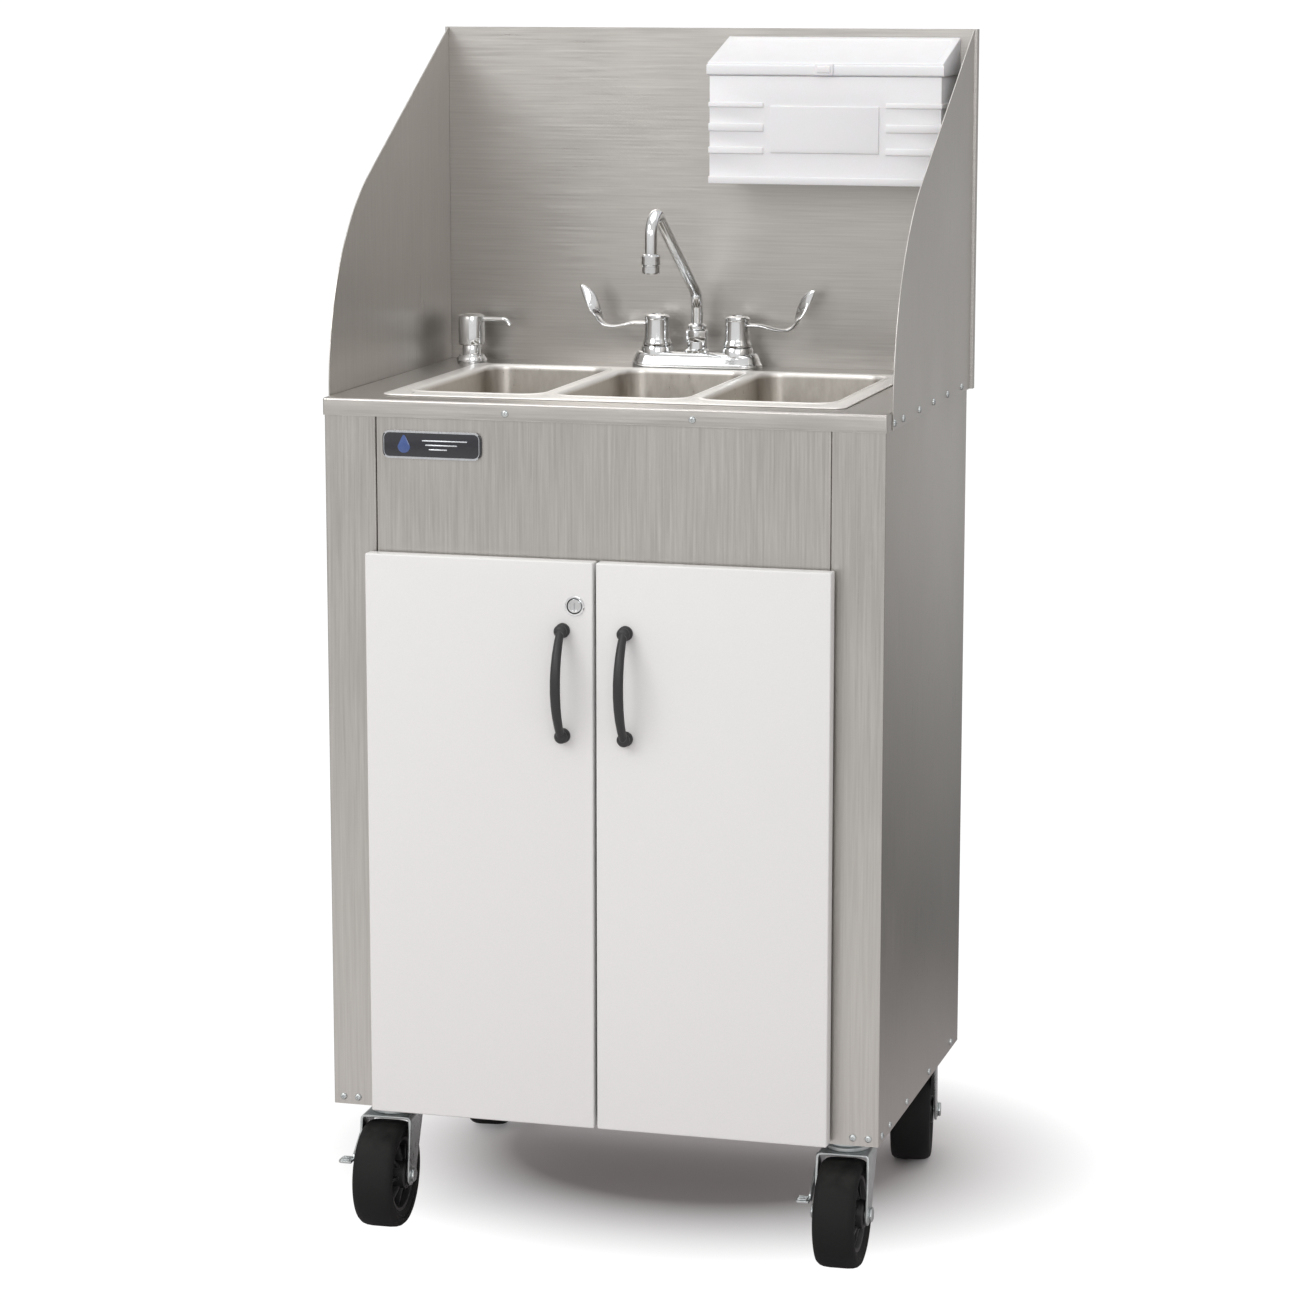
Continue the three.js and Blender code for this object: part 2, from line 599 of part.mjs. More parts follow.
// ---------- doors ----------
function addDoors(parent) {
  for (const [side, sign] of sides) {
    const [x0, x1] = sign < 0 ? [-doorOuter, -door.gap / 2] : [door.gap / 2, doorOuter];
    const cupX = sign * (doorOuter - hinge.fromEdge);
    const pockets = hingeZ.map((z) => rodY(hinge.cup + GAP, doorBack - hinge.cupDepth - GAP, doorBack + 1, cupX, z));
    const keyhole = rodY(lock.hole, doorFront - 1, doorBack + 1, -lock.fromGap, lockZ);
    const board = box(x0, x1, doorFront, doorBack, doorBottom, doorTop);
    const holes = sign < 0 ? [...pockets, keyhole] : pockets;
    piece(parent, `door_${side}`, cut(board, ...holes), whiteLaminate);
    addPull(parent, `door_pull_${side}`, sign * pull.fromGap);
    ["lower", "upper"].forEach((height, i) => addHinge(parent, side, sign, height, hingeZ[i]));
  }
  addLock(parent);
}

function addPull(parent, name, x) {
  const high = doorTop - pull.down;
  const low = high - pull.centres;
  const face = doorFront - GAP;
  const bosses = [low, high].map((z) => rodY(pull.boss, face - pull.bossHeight, face, x, z, 16));
  // The grip is an arc through both bosses, bowed away from the door.
  const sag = pull.bow - pull.bossHeight + 1;
  const half = pull.centres / 2;
  const radius = (half * half + sag * sag) / (2 * sag);
  const sweep = Math.asin(half / radius);
  const centreY = face - pull.bow + radius;
  const steps = 12;
  const path = Array.from({ length: steps + 1 }, (_, i) => {
    const angle = sweep * (1 - (2 * i) / steps);
    return [centreY - radius * Math.cos(angle), (low + high) / 2 - radius * Math.sin(angle)];
  });
  const grip = plateX(bentSheet(path, -pull.gripThick), x - pull.grip / 2, x + pull.grip / 2);
  piece(parent, name, join(grip, ...bosses), blackMetal);
}

function addHinge(parent, side, sign, height, z) {
  const cupX = sign * (doorOuter - hinge.fromEdge);
  const flangeBack = doorBack + GAP + hinge.flange;
  const cup = rodY(hinge.cup, doorBack - hinge.cupDepth, flangeBack, cupX, z);
  const hollow = rodY(hinge.cup - 3, doorBack - hinge.cupDepth + 2, flangeBack + 1, cupX, z);
  const wing = box(
    cupX - hinge.flangeWidth / 2,
    cupX + hinge.flangeWidth / 2,
    doorBack + GAP,
    flangeBack,
    z - hinge.flangeHeight / 2,
    z + hinge.flangeHeight / 2,
  );
  piece(parent, `hinge_cup_${side}_${height}`, cut(join(cup, wing), hollow), zinc);

  const wallX = stileInner - GAP;
  const armFront = flangeBack + hingeArm.behind;
  const armBack = front + cabinet.stileReturn;
  const span = (a, b) => (sign < 0 ? [-b, -a] : [a, b]);
  const [plate0, plate1] = span(wallX - hingeArm.plate, wallX);
  const [arm0, arm1] = span(wallX - hingeArm.plate - hingeArm.arm, wallX - hingeArm.plate);
  const plate = box(plate0, plate1, armBack - hingeArm.plateDepth, armBack, z - hingeArm.plateHeight / 2,
    z + hingeArm.plateHeight / 2);
  const arm = box(arm0, arm1, armFront, armBack - 4, z - hingeArm.armHeight / 2, z + hingeArm.armHeight / 2);
  piece(parent, `hinge_arm_${side}_${height}`, join(plate, arm), zinc);
}

function addLock(parent) {
  const camFront = doorBack + lock.behind - lock.camThick;
  const barrel = rodY(lock.barrel, doorFront - lock.proud, camFront + lock.camThick, -lock.fromGap, lockZ);
  const cam = box(
    -lock.fromGap - lock.cam,
    -lock.fromGap,
    camFront,
    camFront + lock.camThick,
    lockZ - lock.camWidth / 2,
    lockZ + lock.camWidth / 2,
  );
  piece(parent, "lock_barrel", join(barrel, cam), chrome);
}

// ---------- casters ----------
// Each is drawn with its swivel axis at x = y = 0, its wheel trailing towards +Y, and is then turned and placed.
function addCaster(parent, name, x, y, braked) {
  const plateTop = cabinet.bottom - GAP;
  const plateUnder = plateTop - caster.plate;
  const race = plateUnder - 3;
  const plate = join(
    box(-caster.plateX / 2, caster.plateX / 2, -caster.plateY / 2, caster.plateY / 2, plateUnder, plateTop),
    rod(swivel.crown - 2, race, plateUnder + 1),
  );
  piece(group(parent, x, y, 0), `caster_plate_${name}`, plate, zinc);

  const turning = group(parent, x, y, 0);
  turning.rotation.z = THREE.MathUtils.degToRad(casterTurn[name]);
  const legInner = wheel.hubWidth / 2 + 1.2;
  const legOuter = legInner + fork.thick;
  const crownTop = race - GAP;
  const crownLow = crownTop - swivel.crownHeight;
  const bridgeLow = 2 * wheel.radius + fork.clearance;
  const axleZ = wheel.radius;
  const legOutline = new THREE.Shape();
  legOutline.moveTo(-fork.legTop / 2, crownLow + fork.shoulder);
  legOutline.lineTo(-fork.legTop / 2, bridgeLow - 6);
  legOutline.lineTo(swivel.trail - fork.legEnd / 2, axleZ);
  legOutline.absarc(swivel.trail, axleZ, fork.legEnd / 2, Math.PI, Math.PI * 2);
  legOutline.lineTo(swivel.trail + fork.legEnd / 2, bridgeLow - 6);
  legOutline.lineTo(swivel.trail + 4, crownLow + fork.shoulder);
  const bridge = box(-legOuter, legOuter, -fork.legTop / 2, swivel.trail + 4, bridgeLow, crownLow + fork.shoulder);
  const legs = [plateX(legOutline, -legOuter, -legInner), plateX(legOutline, legInner, legOuter)];
  const reach = legOuter + fork.nutHeight;
  const axle = rodX(fork.axle, -reach, reach, swivel.trail, axleZ, 16);
  const nuts = [
    rodX(fork.nut, -reach, -legOuter + 0.5, swivel.trail, axleZ, 6),
    rodX(fork.nut, legOuter - 0.5, reach, swivel.trail, axleZ, 6),
  ];
  const crown = rod(swivel.crown, bridgeLow + 1, crownTop);
  piece(turning, `caster_fork_${name}`, join(crown, bridge, ...legs, axle, ...nuts), zinc);

  const half = wheel.width / 2;
  const halfHub = wheel.hubWidth / 2;
  const rolling = turned(
    [
      [wheel.bore, -halfHub],
      [wheel.hubRadius, -halfHub],
      [wheel.rim, -half + wheel.dish],
      [wheel.radius - 7, -half],
      [wheel.radius, -half + 8],
      [wheel.radius, half - 8],
      [wheel.radius - 7, half],
      [wheel.rim, half - wheel.dish],
      [wheel.hubRadius, halfHub],
      [wheel.bore, halfHub],
      [wheel.bore, -halfHub],
    ],
    wheel.sides,
  );
  piece(turning, `caster_wheel_${name}`, rolling.rotateY(Math.PI / 2).translate(0, swivel.trail, axleZ), blackRubber);
  if (braked) addBrakePedal(turning, name, legOuter, bridgeLow - pedal.below);
}

function addBrakePedal(turning, name, legOuter, pivotZ) {
  const inner = legOuter + pedal.offset;
  const outer = inner + pedal.thick;
  const half = pedal.width / 2;
  const tipZ = pivotZ - pedal.drop;
  const lever = new THREE.Shape();
  lever.absarc(0, pivotZ, half, 0, Math.PI);
  lever.lineTo(pedal.reach - half, tipZ);
  lever.lineTo(pedal.reach + half, tipZ);
  const tab = box(
    inner,
    outer + pedal.tabWidth,
    pedal.reach - half,
    pedal.reach + pedal.tab - half,
    tipZ,
    tipZ + pedal.thick,
  );
  piece(turning, `brake_pedal_${name}`, join(plateX(lever, inner, outer), tab), zinc);
}

function addCasters(parent) {
  for (const [side, sign] of sides) {
    const x = sign * (cabinetHalf - caster.insetX);
    addCaster(parent, `front_${side}`, x, front + caster.insetFront, true);
    addCaster(parent, `rear_${side}`, x, back - caster.insetBack, false);
  }
}

// ---------- water system ----------
function addWaterSystem(parent) {
  const floor = floorTop + GAP;
  const waste = softBlock(
    wasteLeft,
    wasteRight,
    front + wasteTank.front,
    insideBack - wasteTank.back,
    floor,
    wasteTop,
    wasteTank.corner,
    14,
  );
  const wasteNeck = rod(wasteTank.neck, wasteTop - 2, wasteTop + wasteTank.neckUp).translate(wasteX, basinY, 0);
  const mouth = rod(wasteTank.mouth, wasteTop - 12, wasteTop + wasteTank.neckUp + 1).translate(wasteX, basinY, 0);
  piece(parent, "waste_water_tank", cut(join(waste, wasteNeck), mouth), greyPlastic);

  const freshLeft = freshTank.centre;
  const freshFront = front + freshTank.front;
  const neck = { x: freshLeft + freshTank.neckIn + 15, y: freshFront + freshTank.neckIn };
  const fresh = softBlock(
    freshLeft,
    insideHalf - freshTank.wall,
    freshFront,
    insideBack - freshTank.back,
    floor,
    freshTop,
    freshTank.corner,
    14,
  );
  const capTop = freshTop + freshTank.neckUp;
  const cap = rod(freshTank.neck, freshTop - 2, capTop).translate(neck.x, neck.y, 0);
  piece(parent, "fresh_water_tank", join(fresh, cap), naturalPlastic);

  const nippleLow = { x: pumpRight - 34, y: pumpY };
  const hotOut = { x: heaterLeft + 45, y: deckY };
  const coldOut = { x: heaterRight - 70, y: deckY };
  const nipple = (place, z0, z1) => rod(heater.nipple, z0, z1, 16).translate(place.x, place.y, 0);
  const tank = softBlock(
    heaterLeft,
    heaterRight,
    heaterBack - heater.depth,
    heaterBack,
    heaterBottom,
    heaterTop,
    heater.corner,
    10,
  );
  const nipples = [
    nipple(hotOut, heaterTop - 2, heaterTop + 14),
    nipple(coldOut, heaterTop - 2, heaterTop + 14),
    nipple(nippleLow, heaterBottom - 8, heaterBottom + 2),
  ];
  piece(parent, "water_heater", join(tank, ...nipples), enamel);

  const motorLeft = pumpRight - pump.head - pump.motorLength;
  const headLeft = pumpRight - pump.head;
  const half = pump.head / 2;
  const pumpTop = pumpZ + half;
  piece(
    parent,
    "water_pump",
    join(
      rodX(pump.motor, motorLeft, headLeft + 1, pumpY, pumpZ),
      box(headLeft, pumpRight, pumpY - half, pumpY + half, floor + 1, pumpTop),
      box(motorLeft + 8, pumpRight - 4, pumpY - half, pumpY + half, floor, floor + pump.foot),
      box(motorLeft + 20, motorLeft + 34, pumpY - 10, pumpY + 10, floor + pump.foot - 1, pumpZ),
      rod(pump.nipple, pumpTop - 1, pumpTop + 14, 16).translate(nippleLow.x, nippleLow.y, 0),
      rodX(pump.nipple, motorLeft - 12, motorLeft + 1, pumpY, pumpZ, 16),
    ),
    blackPlastic,
  );

  const hoseOf = (name, route) => piece(parent, name, tube(route, hose.radius, hose.steps, hose.sides), greyPlastic);
  hoseOf("pump_hose", [
    [nippleLow.x, nippleLow.y, pumpTop + 14 + GAP],
    [nippleLow.x, nippleLow.y, pumpTop + 60],
    [nippleLow.x, nippleLow.y, heaterBottom - 60],
    [nippleLow.x, nippleLow.y, heaterBottom - 8 - GAP],
  ]);
  const suctionX = freshLeft - 22;
  hoseOf("suction_hose", [
    [neck.x, neck.y, capTop + GAP],
    [neck.x, neck.y, capTop + 22],
    [neck.x - 22, neck.y + 6, capTop + 42],
    [suctionX + 10, neck.y + 40, capTop + 30],
    [suctionX, (neck.y + pumpY) / 2, freshTop - 60],
    [suctionX, pumpY - 34, (freshTop + pumpZ) / 2],
    [suctionX - 4, pumpY - 2, pumpZ + 70],
    [suctionX - 2, pumpY, pumpZ + 26],
    [(suctionX + motorLeft) / 2 - 10, pumpY, pumpZ + 2],
    [motorLeft - 30, pumpY, pumpZ],
    [motorLeft - 12 - GAP, pumpY, pumpZ],
  ]);
  const shankBottom = counter.top + GAP - faucet.shankLength;
  const riser = (from, x) => [
    [from.x, from.y, heaterTop + 14 + GAP],
    [from.x, from.y, heaterTop + 45],
    [from.x * 0.7 + x * 0.3, from.y + 8, heaterTop + 80],
    [from.x * 0.3 + x * 0.7, from.y + 8, shankBottom - 80],
    [x, deckY, shankBottom - 45],
    [x, deckY, shankBottom - GAP],
  ];
  hoseOf("hot_hose", riser(hotOut, -faucet.centres / 2));
  hoseOf("cold_hose", riser(coldOut, faucet.centres / 2));
}

function addControlBox(parent) {
  const x0 = -insideHalf + controlBox.fromWall;
  const x1 = x0 + controlBox.width;
  const z1 = counter.top - controlBox.down;
  const z0 = z1 - controlBox.height;
  const y1 = insideBack - GAP;
  const y0 = y1 - controlBox.depth;
  const middle = { x: (x0 + x1) / 2, z: (z0 + z1) / 2 };
  const inlet = rodY(controlBox.inlet, y1 - 1, back - 0.5, middle.x, middle.z);
  const well = box(
    middle.x - rocker.width / 2 - rocker.clearance,
    middle.x + rocker.width / 2 + rocker.clearance,
    y0 - 1,
    y0 + rocker.thick,
    middle.z - rocker.height / 2 - rocker.clearance,
    middle.z + rocker.height / 2 + rocker.clearance,
  );
  piece(parent, "control_box", cut(join(softBlock(x0, x1, y0, y1, z0, z1, controlBox.corner, 2), inlet), well),
    blackPlastic);
  const outline = new THREE.Shape(
    points([
      [-rocker.proud, -rocker.height / 2],
      [rocker.thick - 3, -rocker.height / 2 + 2.5],
      [rocker.thick - 3, rocker.height / 2 - 2.5],
      [-rocker.proud, rocker.height / 2],
      [-rocker.proud + 1.5, 0],
    ]),
  );
  const button = plateX(outline, middle.x - rocker.width / 2, middle.x + rocker.width / 2);
  button.rotateX(THREE.MathUtils.degToRad(-rocker.tilt)).translate(0, y0, middle.z);
  piece(parent, "pump_switch", button, blackPlastic);
}

// ---------- assembly ----------
const handwashSink = new THREE.Group();
addSidePanels(handwashSink);
addFloorPan(handwashSink);
addBackPanel(handwashSink);
addFascia(handwashSink);
addBadge(handwashSink);
addCounter(handwashSink);
addSink(handwashSink);
addDrains(handwashSink);
addDrainManifold(handwashSink);
addGuards(handwashSink);
addBacksplash(handwashSink);
addFaucet(handwashSink);
addSoapPump(handwashSink);
addTowelDispenser(handwashSink);
addDoors(handwashSink);
addCasters(handwashSink);
addWaterSystem(handwashSink);
addControlBox(handwashSink);

// The origin is the middle of the overall box, on the floor.
handwashSink.updateMatrixWorld(true);
const bounds = new THREE.Box3().setFromObject(handwashSink, true);
const middle = bounds.getCenter(new THREE.Vector3());
handwashSink.position.set(-middle.x, -middle.y, -bounds.min.z);

export default handwashSink;
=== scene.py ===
"""The looks of a portable three-basin hand-wash sink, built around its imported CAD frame."""

import math

import bmesh
import bpy
from mathutils import Matrix, Vector


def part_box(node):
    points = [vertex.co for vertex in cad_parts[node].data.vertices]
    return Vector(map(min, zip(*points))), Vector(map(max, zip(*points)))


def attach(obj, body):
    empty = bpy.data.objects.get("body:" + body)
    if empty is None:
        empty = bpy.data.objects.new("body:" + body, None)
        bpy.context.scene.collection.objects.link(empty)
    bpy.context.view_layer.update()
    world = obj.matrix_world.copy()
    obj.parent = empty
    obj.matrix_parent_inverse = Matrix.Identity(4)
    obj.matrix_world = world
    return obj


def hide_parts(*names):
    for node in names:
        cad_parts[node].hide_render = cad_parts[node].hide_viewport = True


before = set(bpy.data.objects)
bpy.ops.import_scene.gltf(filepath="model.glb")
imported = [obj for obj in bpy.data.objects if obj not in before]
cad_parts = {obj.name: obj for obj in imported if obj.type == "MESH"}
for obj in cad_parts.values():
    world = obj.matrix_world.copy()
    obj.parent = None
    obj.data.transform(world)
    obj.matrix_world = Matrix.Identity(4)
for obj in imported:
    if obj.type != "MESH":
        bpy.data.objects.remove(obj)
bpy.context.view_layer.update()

bpy.ops.object.select_all(action="DESELECT")


# ---------- modelling by hand ----------
def take(obj):
    """Makes this the only selected object."""
    bpy.ops.object.select_all(action="DESELECT")
    obj.select_set(True)
    bpy.context.view_layer.objects.active = obj


def name_new(name):
    """Names the primitive just added and moves its place into its mesh."""
    obj = bpy.context.active_object
    obj.name = name
    obj.data.name = name
    bpy.ops.object.transform_apply(location=True, rotation=True, scale=True)
    return obj


def block(name, low, high):
    """A box between two corners."""
    low, high = Vector(low), Vector(high)
    bpy.ops.object.select_all(action="DESELECT")
    bpy.ops.mesh.primitive_cube_add(size=1, location=(low + high) / 2, scale=high - low)
    return name_new(name)


def flat(name, low, high, z):
    """A level sheet with no thickness."""
    centre = ((low[0] + high[0]) / 2, (low[1] + high[1]) / 2, z)
    bpy.ops.object.select_all(action="DESELECT")
    bpy.ops.mesh.primitive_plane_add(size=1, location=centre)
    bpy.context.active_object.scale = (high[0] - low[0], high[1] - low[1], 1)
    return name_new(name)


CLOSE = 1e-5
SAME_PLACE = 1e-6
SHEET = 0.0012
FACING = {"X": (0, math.pi / 2, 0), "Y": (-math.pi / 2, 0, 0), "Z": (0, 0, 0)}
ALONG = {"X": Vector((1, 0, 0)), "Y": Vector((0, 1, 0)), "Z": Vector((0, 0, 1))}


def disc(name, centre, radius, axis="Z", sides=48):
    bpy.ops.object.select_all(action="DESELECT")
    bpy.ops.mesh.primitive_circle_add(
        vertices=sides, radius=radius, fill_type="NGON", location=centre, rotation=FACING[axis]
    )
    return name_new(name)


def edit(obj):
    take(obj)
    bpy.ops.object.mode_set(mode="EDIT")


def done():
    bpy.ops.object.mode_set(mode="OBJECT")


def pick(kind, test):
    """In edit mode, selects the corners, edges or faces that pass the test."""
    bpy.ops.mesh.select_mode(type=kind)
    bpy.ops.mesh.select_all(action="DESELECT")
    form = bmesh.from_edit_mesh(bpy.context.edit_object.data)
    for part in {"VERT": form.verts, "EDGE": form.edges, "FACE": form.faces}[kind]:
        if test(part):
            part.select_set(True)
    form.select_flush_mode()
    bmesh.update_edit_mesh(bpy.context.edit_object.data)


def middle(part):
    """The middle of an edge or a face."""
    return sum((v.co for v in part.verts), Vector()) / len(part.verts)


def push(x=0, y=0, z=0):
    """Extrudes what is selected and moves it."""
    bpy.ops.mesh.extrude_region_move(TRANSFORM_OT_translate={"value": (x, y, z)})


def resize(x, y, z, centre):
    bpy.ops.transform.resize(value=(x, y, z), center_override=centre)


def slice_at(axis, place_at):
    """Cuts the whole mesh across an axis."""
    bpy.ops.mesh.select_mode(type="FACE")
    bpy.ops.mesh.select_all(action="SELECT")
    bpy.ops.mesh.bisect(plane_co=ALONG[axis] * place_at, plane_no=ALONG[axis])


def spans(edge, axis, least=0.001):
    """Whether an edge runs further along x, y or z than the least length."""
    start, end = (getattr(corner.co, axis) for corner in edge.verts)
    return abs(start - end) > least


def bevel_edges(test, width, segments):
    """In edit mode, rounds the edges that pass the test."""
    pick("EDGE", test)
    bpy.ops.mesh.bevel(offset=width, segments=segments, affect="EDGES")


def round_corners(obj, axis, width, segments, also=lambda edge: True, least=0.001):
    """Rounds the edges of a piece that run along an axis."""
    edit(obj)
    bevel_edges(lambda edge: spans(edge, axis, least) and also(edge), width, segments)
    done()


def inset(thickness, **more):
    bpy.ops.mesh.inset(thickness=thickness, **more)


def tidy_faces():
    """Closes doubled corners and turns every face outwards."""
    bpy.ops.mesh.select_mode(type="VERT")
    bpy.ops.mesh.select_all(action="SELECT")
    bpy.ops.mesh.remove_doubles(threshold=SAME_PLACE)
    bpy.ops.mesh.normals_make_consistent(inside=False)


def modify(obj, kind, **settings):
    """Adds a modifier and applies it."""
    take(obj)
    bpy.ops.object.modifier_add(type=kind)
    modifier = obj.modifiers[-1]
    for key, value in settings.items():
        setattr(modifier, key, value)
    bpy.ops.object.modifier_apply(modifier=modifier.name)


def soften(obj, width, segments=2, angle=35):
    modify(obj, "BEVEL", width=width, segments=segments, limit_method="ANGLE",
           angle_limit=math.radians(angle), harden_normals=False)
    smooth(obj)


def smooth(obj, angle=35):
    take(obj)
    bpy.ops.object.shade_smooth_by_angle(angle=math.radians(angle))


def round_over(obj, levels=2):
    modify(obj, "SUBSURF", levels=levels, render_levels=levels)
    smooth(obj, 60)


def copy_of(obj, name):
    """A copy with its own mesh."""
    take(obj)
    bpy.ops.object.duplicate(linked=False)
    copy = bpy.context.active_object
    copy.name = name
    copy.data.name = name
    return copy


def place(obj, move=(0, 0, 0), swing=(0, 0, 0)):
    """Turns an object about the origin, moves it, and puts its new place into its mesh."""
    take(obj)
    obj.rotation_mode = "XYZ"
    obj.rotation_euler = swing
    obj.location = move
    bpy.ops.object.transform_apply(location=True, rotation=True, scale=True)
    return obj


def join(name, objects):
    """Makes one piece of several."""
    take(objects[0])
    for obj in objects:
        obj.select_set(True)
    bpy.ops.object.join()
    objects[0].name = name
    objects[0].data.name = name
    return objects[0]


def turn(name, centre, profile, axis="Z", sides=48, bore=False, crease=None):
    """A turned piece: a disc drawn up through each (radius, height), closed on itself when it has a bore."""
    centre = Vector(centre)
    along = ALONG[axis]
    radius, height = profile[0]
    obj = disc(name, centre + along * height, radius, axis, sides)
    edit(obj)
    bpy.ops.mesh.select_all(action="SELECT")
    for next_radius, next_height in profile[1:]:
        push(*(along * (next_height - height)))
        scale = next_radius / radius
        keep = [1 if along[i] else scale for i in range(3)]
        resize(*keep, centre + along * next_height)
        radius, height = next_radius, next_height
    if bore:
        bpy.ops.mesh.delete(type="ONLY_FACE")
        pick("FACE", lambda face: len(face.verts) > 4)
        bpy.ops.mesh.delete(type="ONLY_FACE")
    tidy_faces()
    done()
    if crease:
        smooth(obj, crease)
    return obj


def rod(name, start, end, radius, sides=16):
    """A straight bar between two points."""
    start, end = Vector(start), Vector(end)
    lie = (end - start).to_track_quat("Z", "Y").to_euler()
    bpy.ops.object.select_all(action="DESELECT")
    bpy.ops.mesh.primitive_cylinder_add(
        vertices=sides, radius=radius, depth=(end - start).length, location=(start + end) / 2, rotation=lie
    )
    return name_new(name)


def sweep(here, way, axis, steps):
    """Draws the selected end face along: a step is a length, or a bend of (degrees, radius) about an axis."""
    here, way, axis = Vector(here), Vector(way).normalized(), Vector(axis)
    for step in steps:
        if not isinstance(step, tuple):
            push(*(way * step))
            here = here + way * step
            continue
        angle, bend = step
        centre = here + axis.cross(way) * (bend if angle > 0 else -bend)
        bpy.ops.mesh.spin(steps=max(3, int(abs(angle) / 8)), angle=-math.radians(angle), center=centre,
                          axis=axis)
        swing = Matrix.Rotation(math.radians(angle), 3, axis)
        here = centre + swing @ (here - centre)
        way = swing @ way
    return here, way


def pipe(name, start, way, axis, radius, steps, sides=20):
    """A round bar or pipe from a start point, heading one way and bending about one axis."""
    lie = Vector(way).to_track_quat("Z", "X").to_euler()
    bpy.ops.object.select_all(action="DESELECT")
    bpy.ops.mesh.primitive_circle_add(vertices=sides, radius=radius, fill_type="NGON", location=start,
                                      rotation=lie)
    obj = name_new(name)
    edit(obj)
    bpy.ops.mesh.select_all(action="SELECT")
    sweep(start, way, axis, steps)
    tidy_faces()
    done()
    return obj


def folded(name, corners, z0, z1, bend=0.0022, notch=None):
    """A sheet bent along upright folds, its outer face lying to the right of the path."""
    (ax, ay), (bx, by) = corners[:2]
    heading = math.atan2(by - ay, bx - ax)
    bpy.ops.object.select_all(action="DESELECT")
    bpy.ops.mesh.primitive_plane_add(
        size=1, location=((ax + bx) / 2, (ay + by) / 2, (z0 + z1) / 2), rotation=(math.pi / 2, 0, heading)
    )
    bpy.context.active_object.scale = (math.hypot(bx - ax, by - ay), z1 - z0, 1)
    obj = name_new(name)
    edit(obj)
    near = lambda v, corner: abs(v.co.x - corner[0]) < CLOSE and abs(v.co.y - corner[1]) < CLOSE
    on = lambda edge, corner: all(near(v, corner) for v in edge.verts)
    for here, after in zip(corners[1:], corners[2:]):
        pick("EDGE", lambda edge: on(edge, here))
        push(after[0] - here[0], after[1] - here[1], 0)
    bevel_edges(lambda edge: any(on(edge, corner) for corner in corners[1:-1]), bend, 4)
    if notch:
        slice_at("Z", notch[2])
        pick("FACE", lambda face: notch[0] < abs(middle(face).x) < notch[1] and middle(face).z < notch[2])
        bpy.ops.mesh.delete(type="FACE")
    done()
    modify(obj, "SOLIDIFY", thickness=SHEET, offset=-1)
    smooth(obj)
    return obj


def cut_out(obj, *tools):
    """Takes the tools' shapes out of a piece."""
    for tool in tools:
        modify(obj, "BOOLEAN", operation="DIFFERENCE", object=tool, solver="EXACT")
        bpy.data.objects.remove(tool)


def finish_piece(obj, body, slot, material, *stands_for):
    obj.data.materials.clear()
    obj.data.materials.append(material)
    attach(obj, body)
    if stands_for:
        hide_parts(*stands_for)
    return obj


# ---------- shader node groups ----------
def new_group(name, inputs, outputs):
    """An empty node group with named sockets, returned with its input and output nodes."""
    group = bpy.data.node_groups.new(name, "ShaderNodeTree")
    for label, kind, value in inputs:
        group.interface.new_socket(label, in_out="INPUT", socket_type=kind).default_value = value
    for label in outputs:
        group.interface.new_socket(label, in_out="OUTPUT", socket_type="NodeSocketFloat")
    start = group.nodes.new("NodeGroupInput")
    end = group.nodes.new("NodeGroupOutput")
    return group, start, end


def wire(tree, kind, links=None, **settings):
    """Adds a node: links gives what feeds each socket, a socket or a plain value."""
    node = tree.nodes.new(kind)
    for key, value in settings.items():
        setattr(node, key, value)
    for label, source in (links or {}).items():
        socket = node.inputs[label]
        if isinstance(source, bpy.types.NodeSocket):
            tree.links.new(source, socket)
        else:
            socket.default_value = source
    return node


def spread(tree, source, low, high, to_low=0.0, to_high=1.0):
    """Maps a value from one range to another and clamps it."""
    links = {"Value": source, "From Min": low, "From Max": high, "To Min": to_low, "To Max": to_high}
    return wire(tree, "ShaderNodeMapRange", links).outputs["Result"]


def times(tree, a, b, operation="MULTIPLY"):
    return wire(tree, "ShaderNodeMath", {0: a, 1: b}, operation=operation).outputs[0]


def build_grain():
    """Streaks or speckle, finer along the axes with the larger stretch."""
    group, start, end = new_group(
        "Grain", [("Stretch", "NodeSocketVector", (300, 300, 10)), ("Contrast", "NodeSocketFloat", 0.5)],
        ["Grain", "Cloud"],
    )
    place_of = wire(group, "ShaderNodeTexCoord").outputs["Object"]
    drawn = wire(group, "ShaderNodeVectorMath", {0: place_of, 1: start.outputs["Stretch"]},
                 operation="MULTIPLY")
    fine = wire(group, "ShaderNodeTexNoise", {"Vector": drawn.outputs[0], "Scale": 1.0, "Detail": 5.0,
                                              "Roughness": 0.62})
    half = times(group, start.outputs["Contrast"], 0.5)
    low = times(group, 0.5, half, "SUBTRACT")
    high = times(group, 0.5, half, "ADD")
    cloud = wire(group, "ShaderNodeTexNoise", {"Vector": place_of, "Scale": 5.0, "Detail": 3.0,
                                               "Distortion": 0.4})
    group.links.new(spread(group, fine.outputs["Fac"], 0.3, 0.7, low, high), end.inputs["Grain"])
    group.links.new(spread(group, cloud.outputs["Fac"], 0.35, 0.65), end.inputs["Cloud"])
    return group


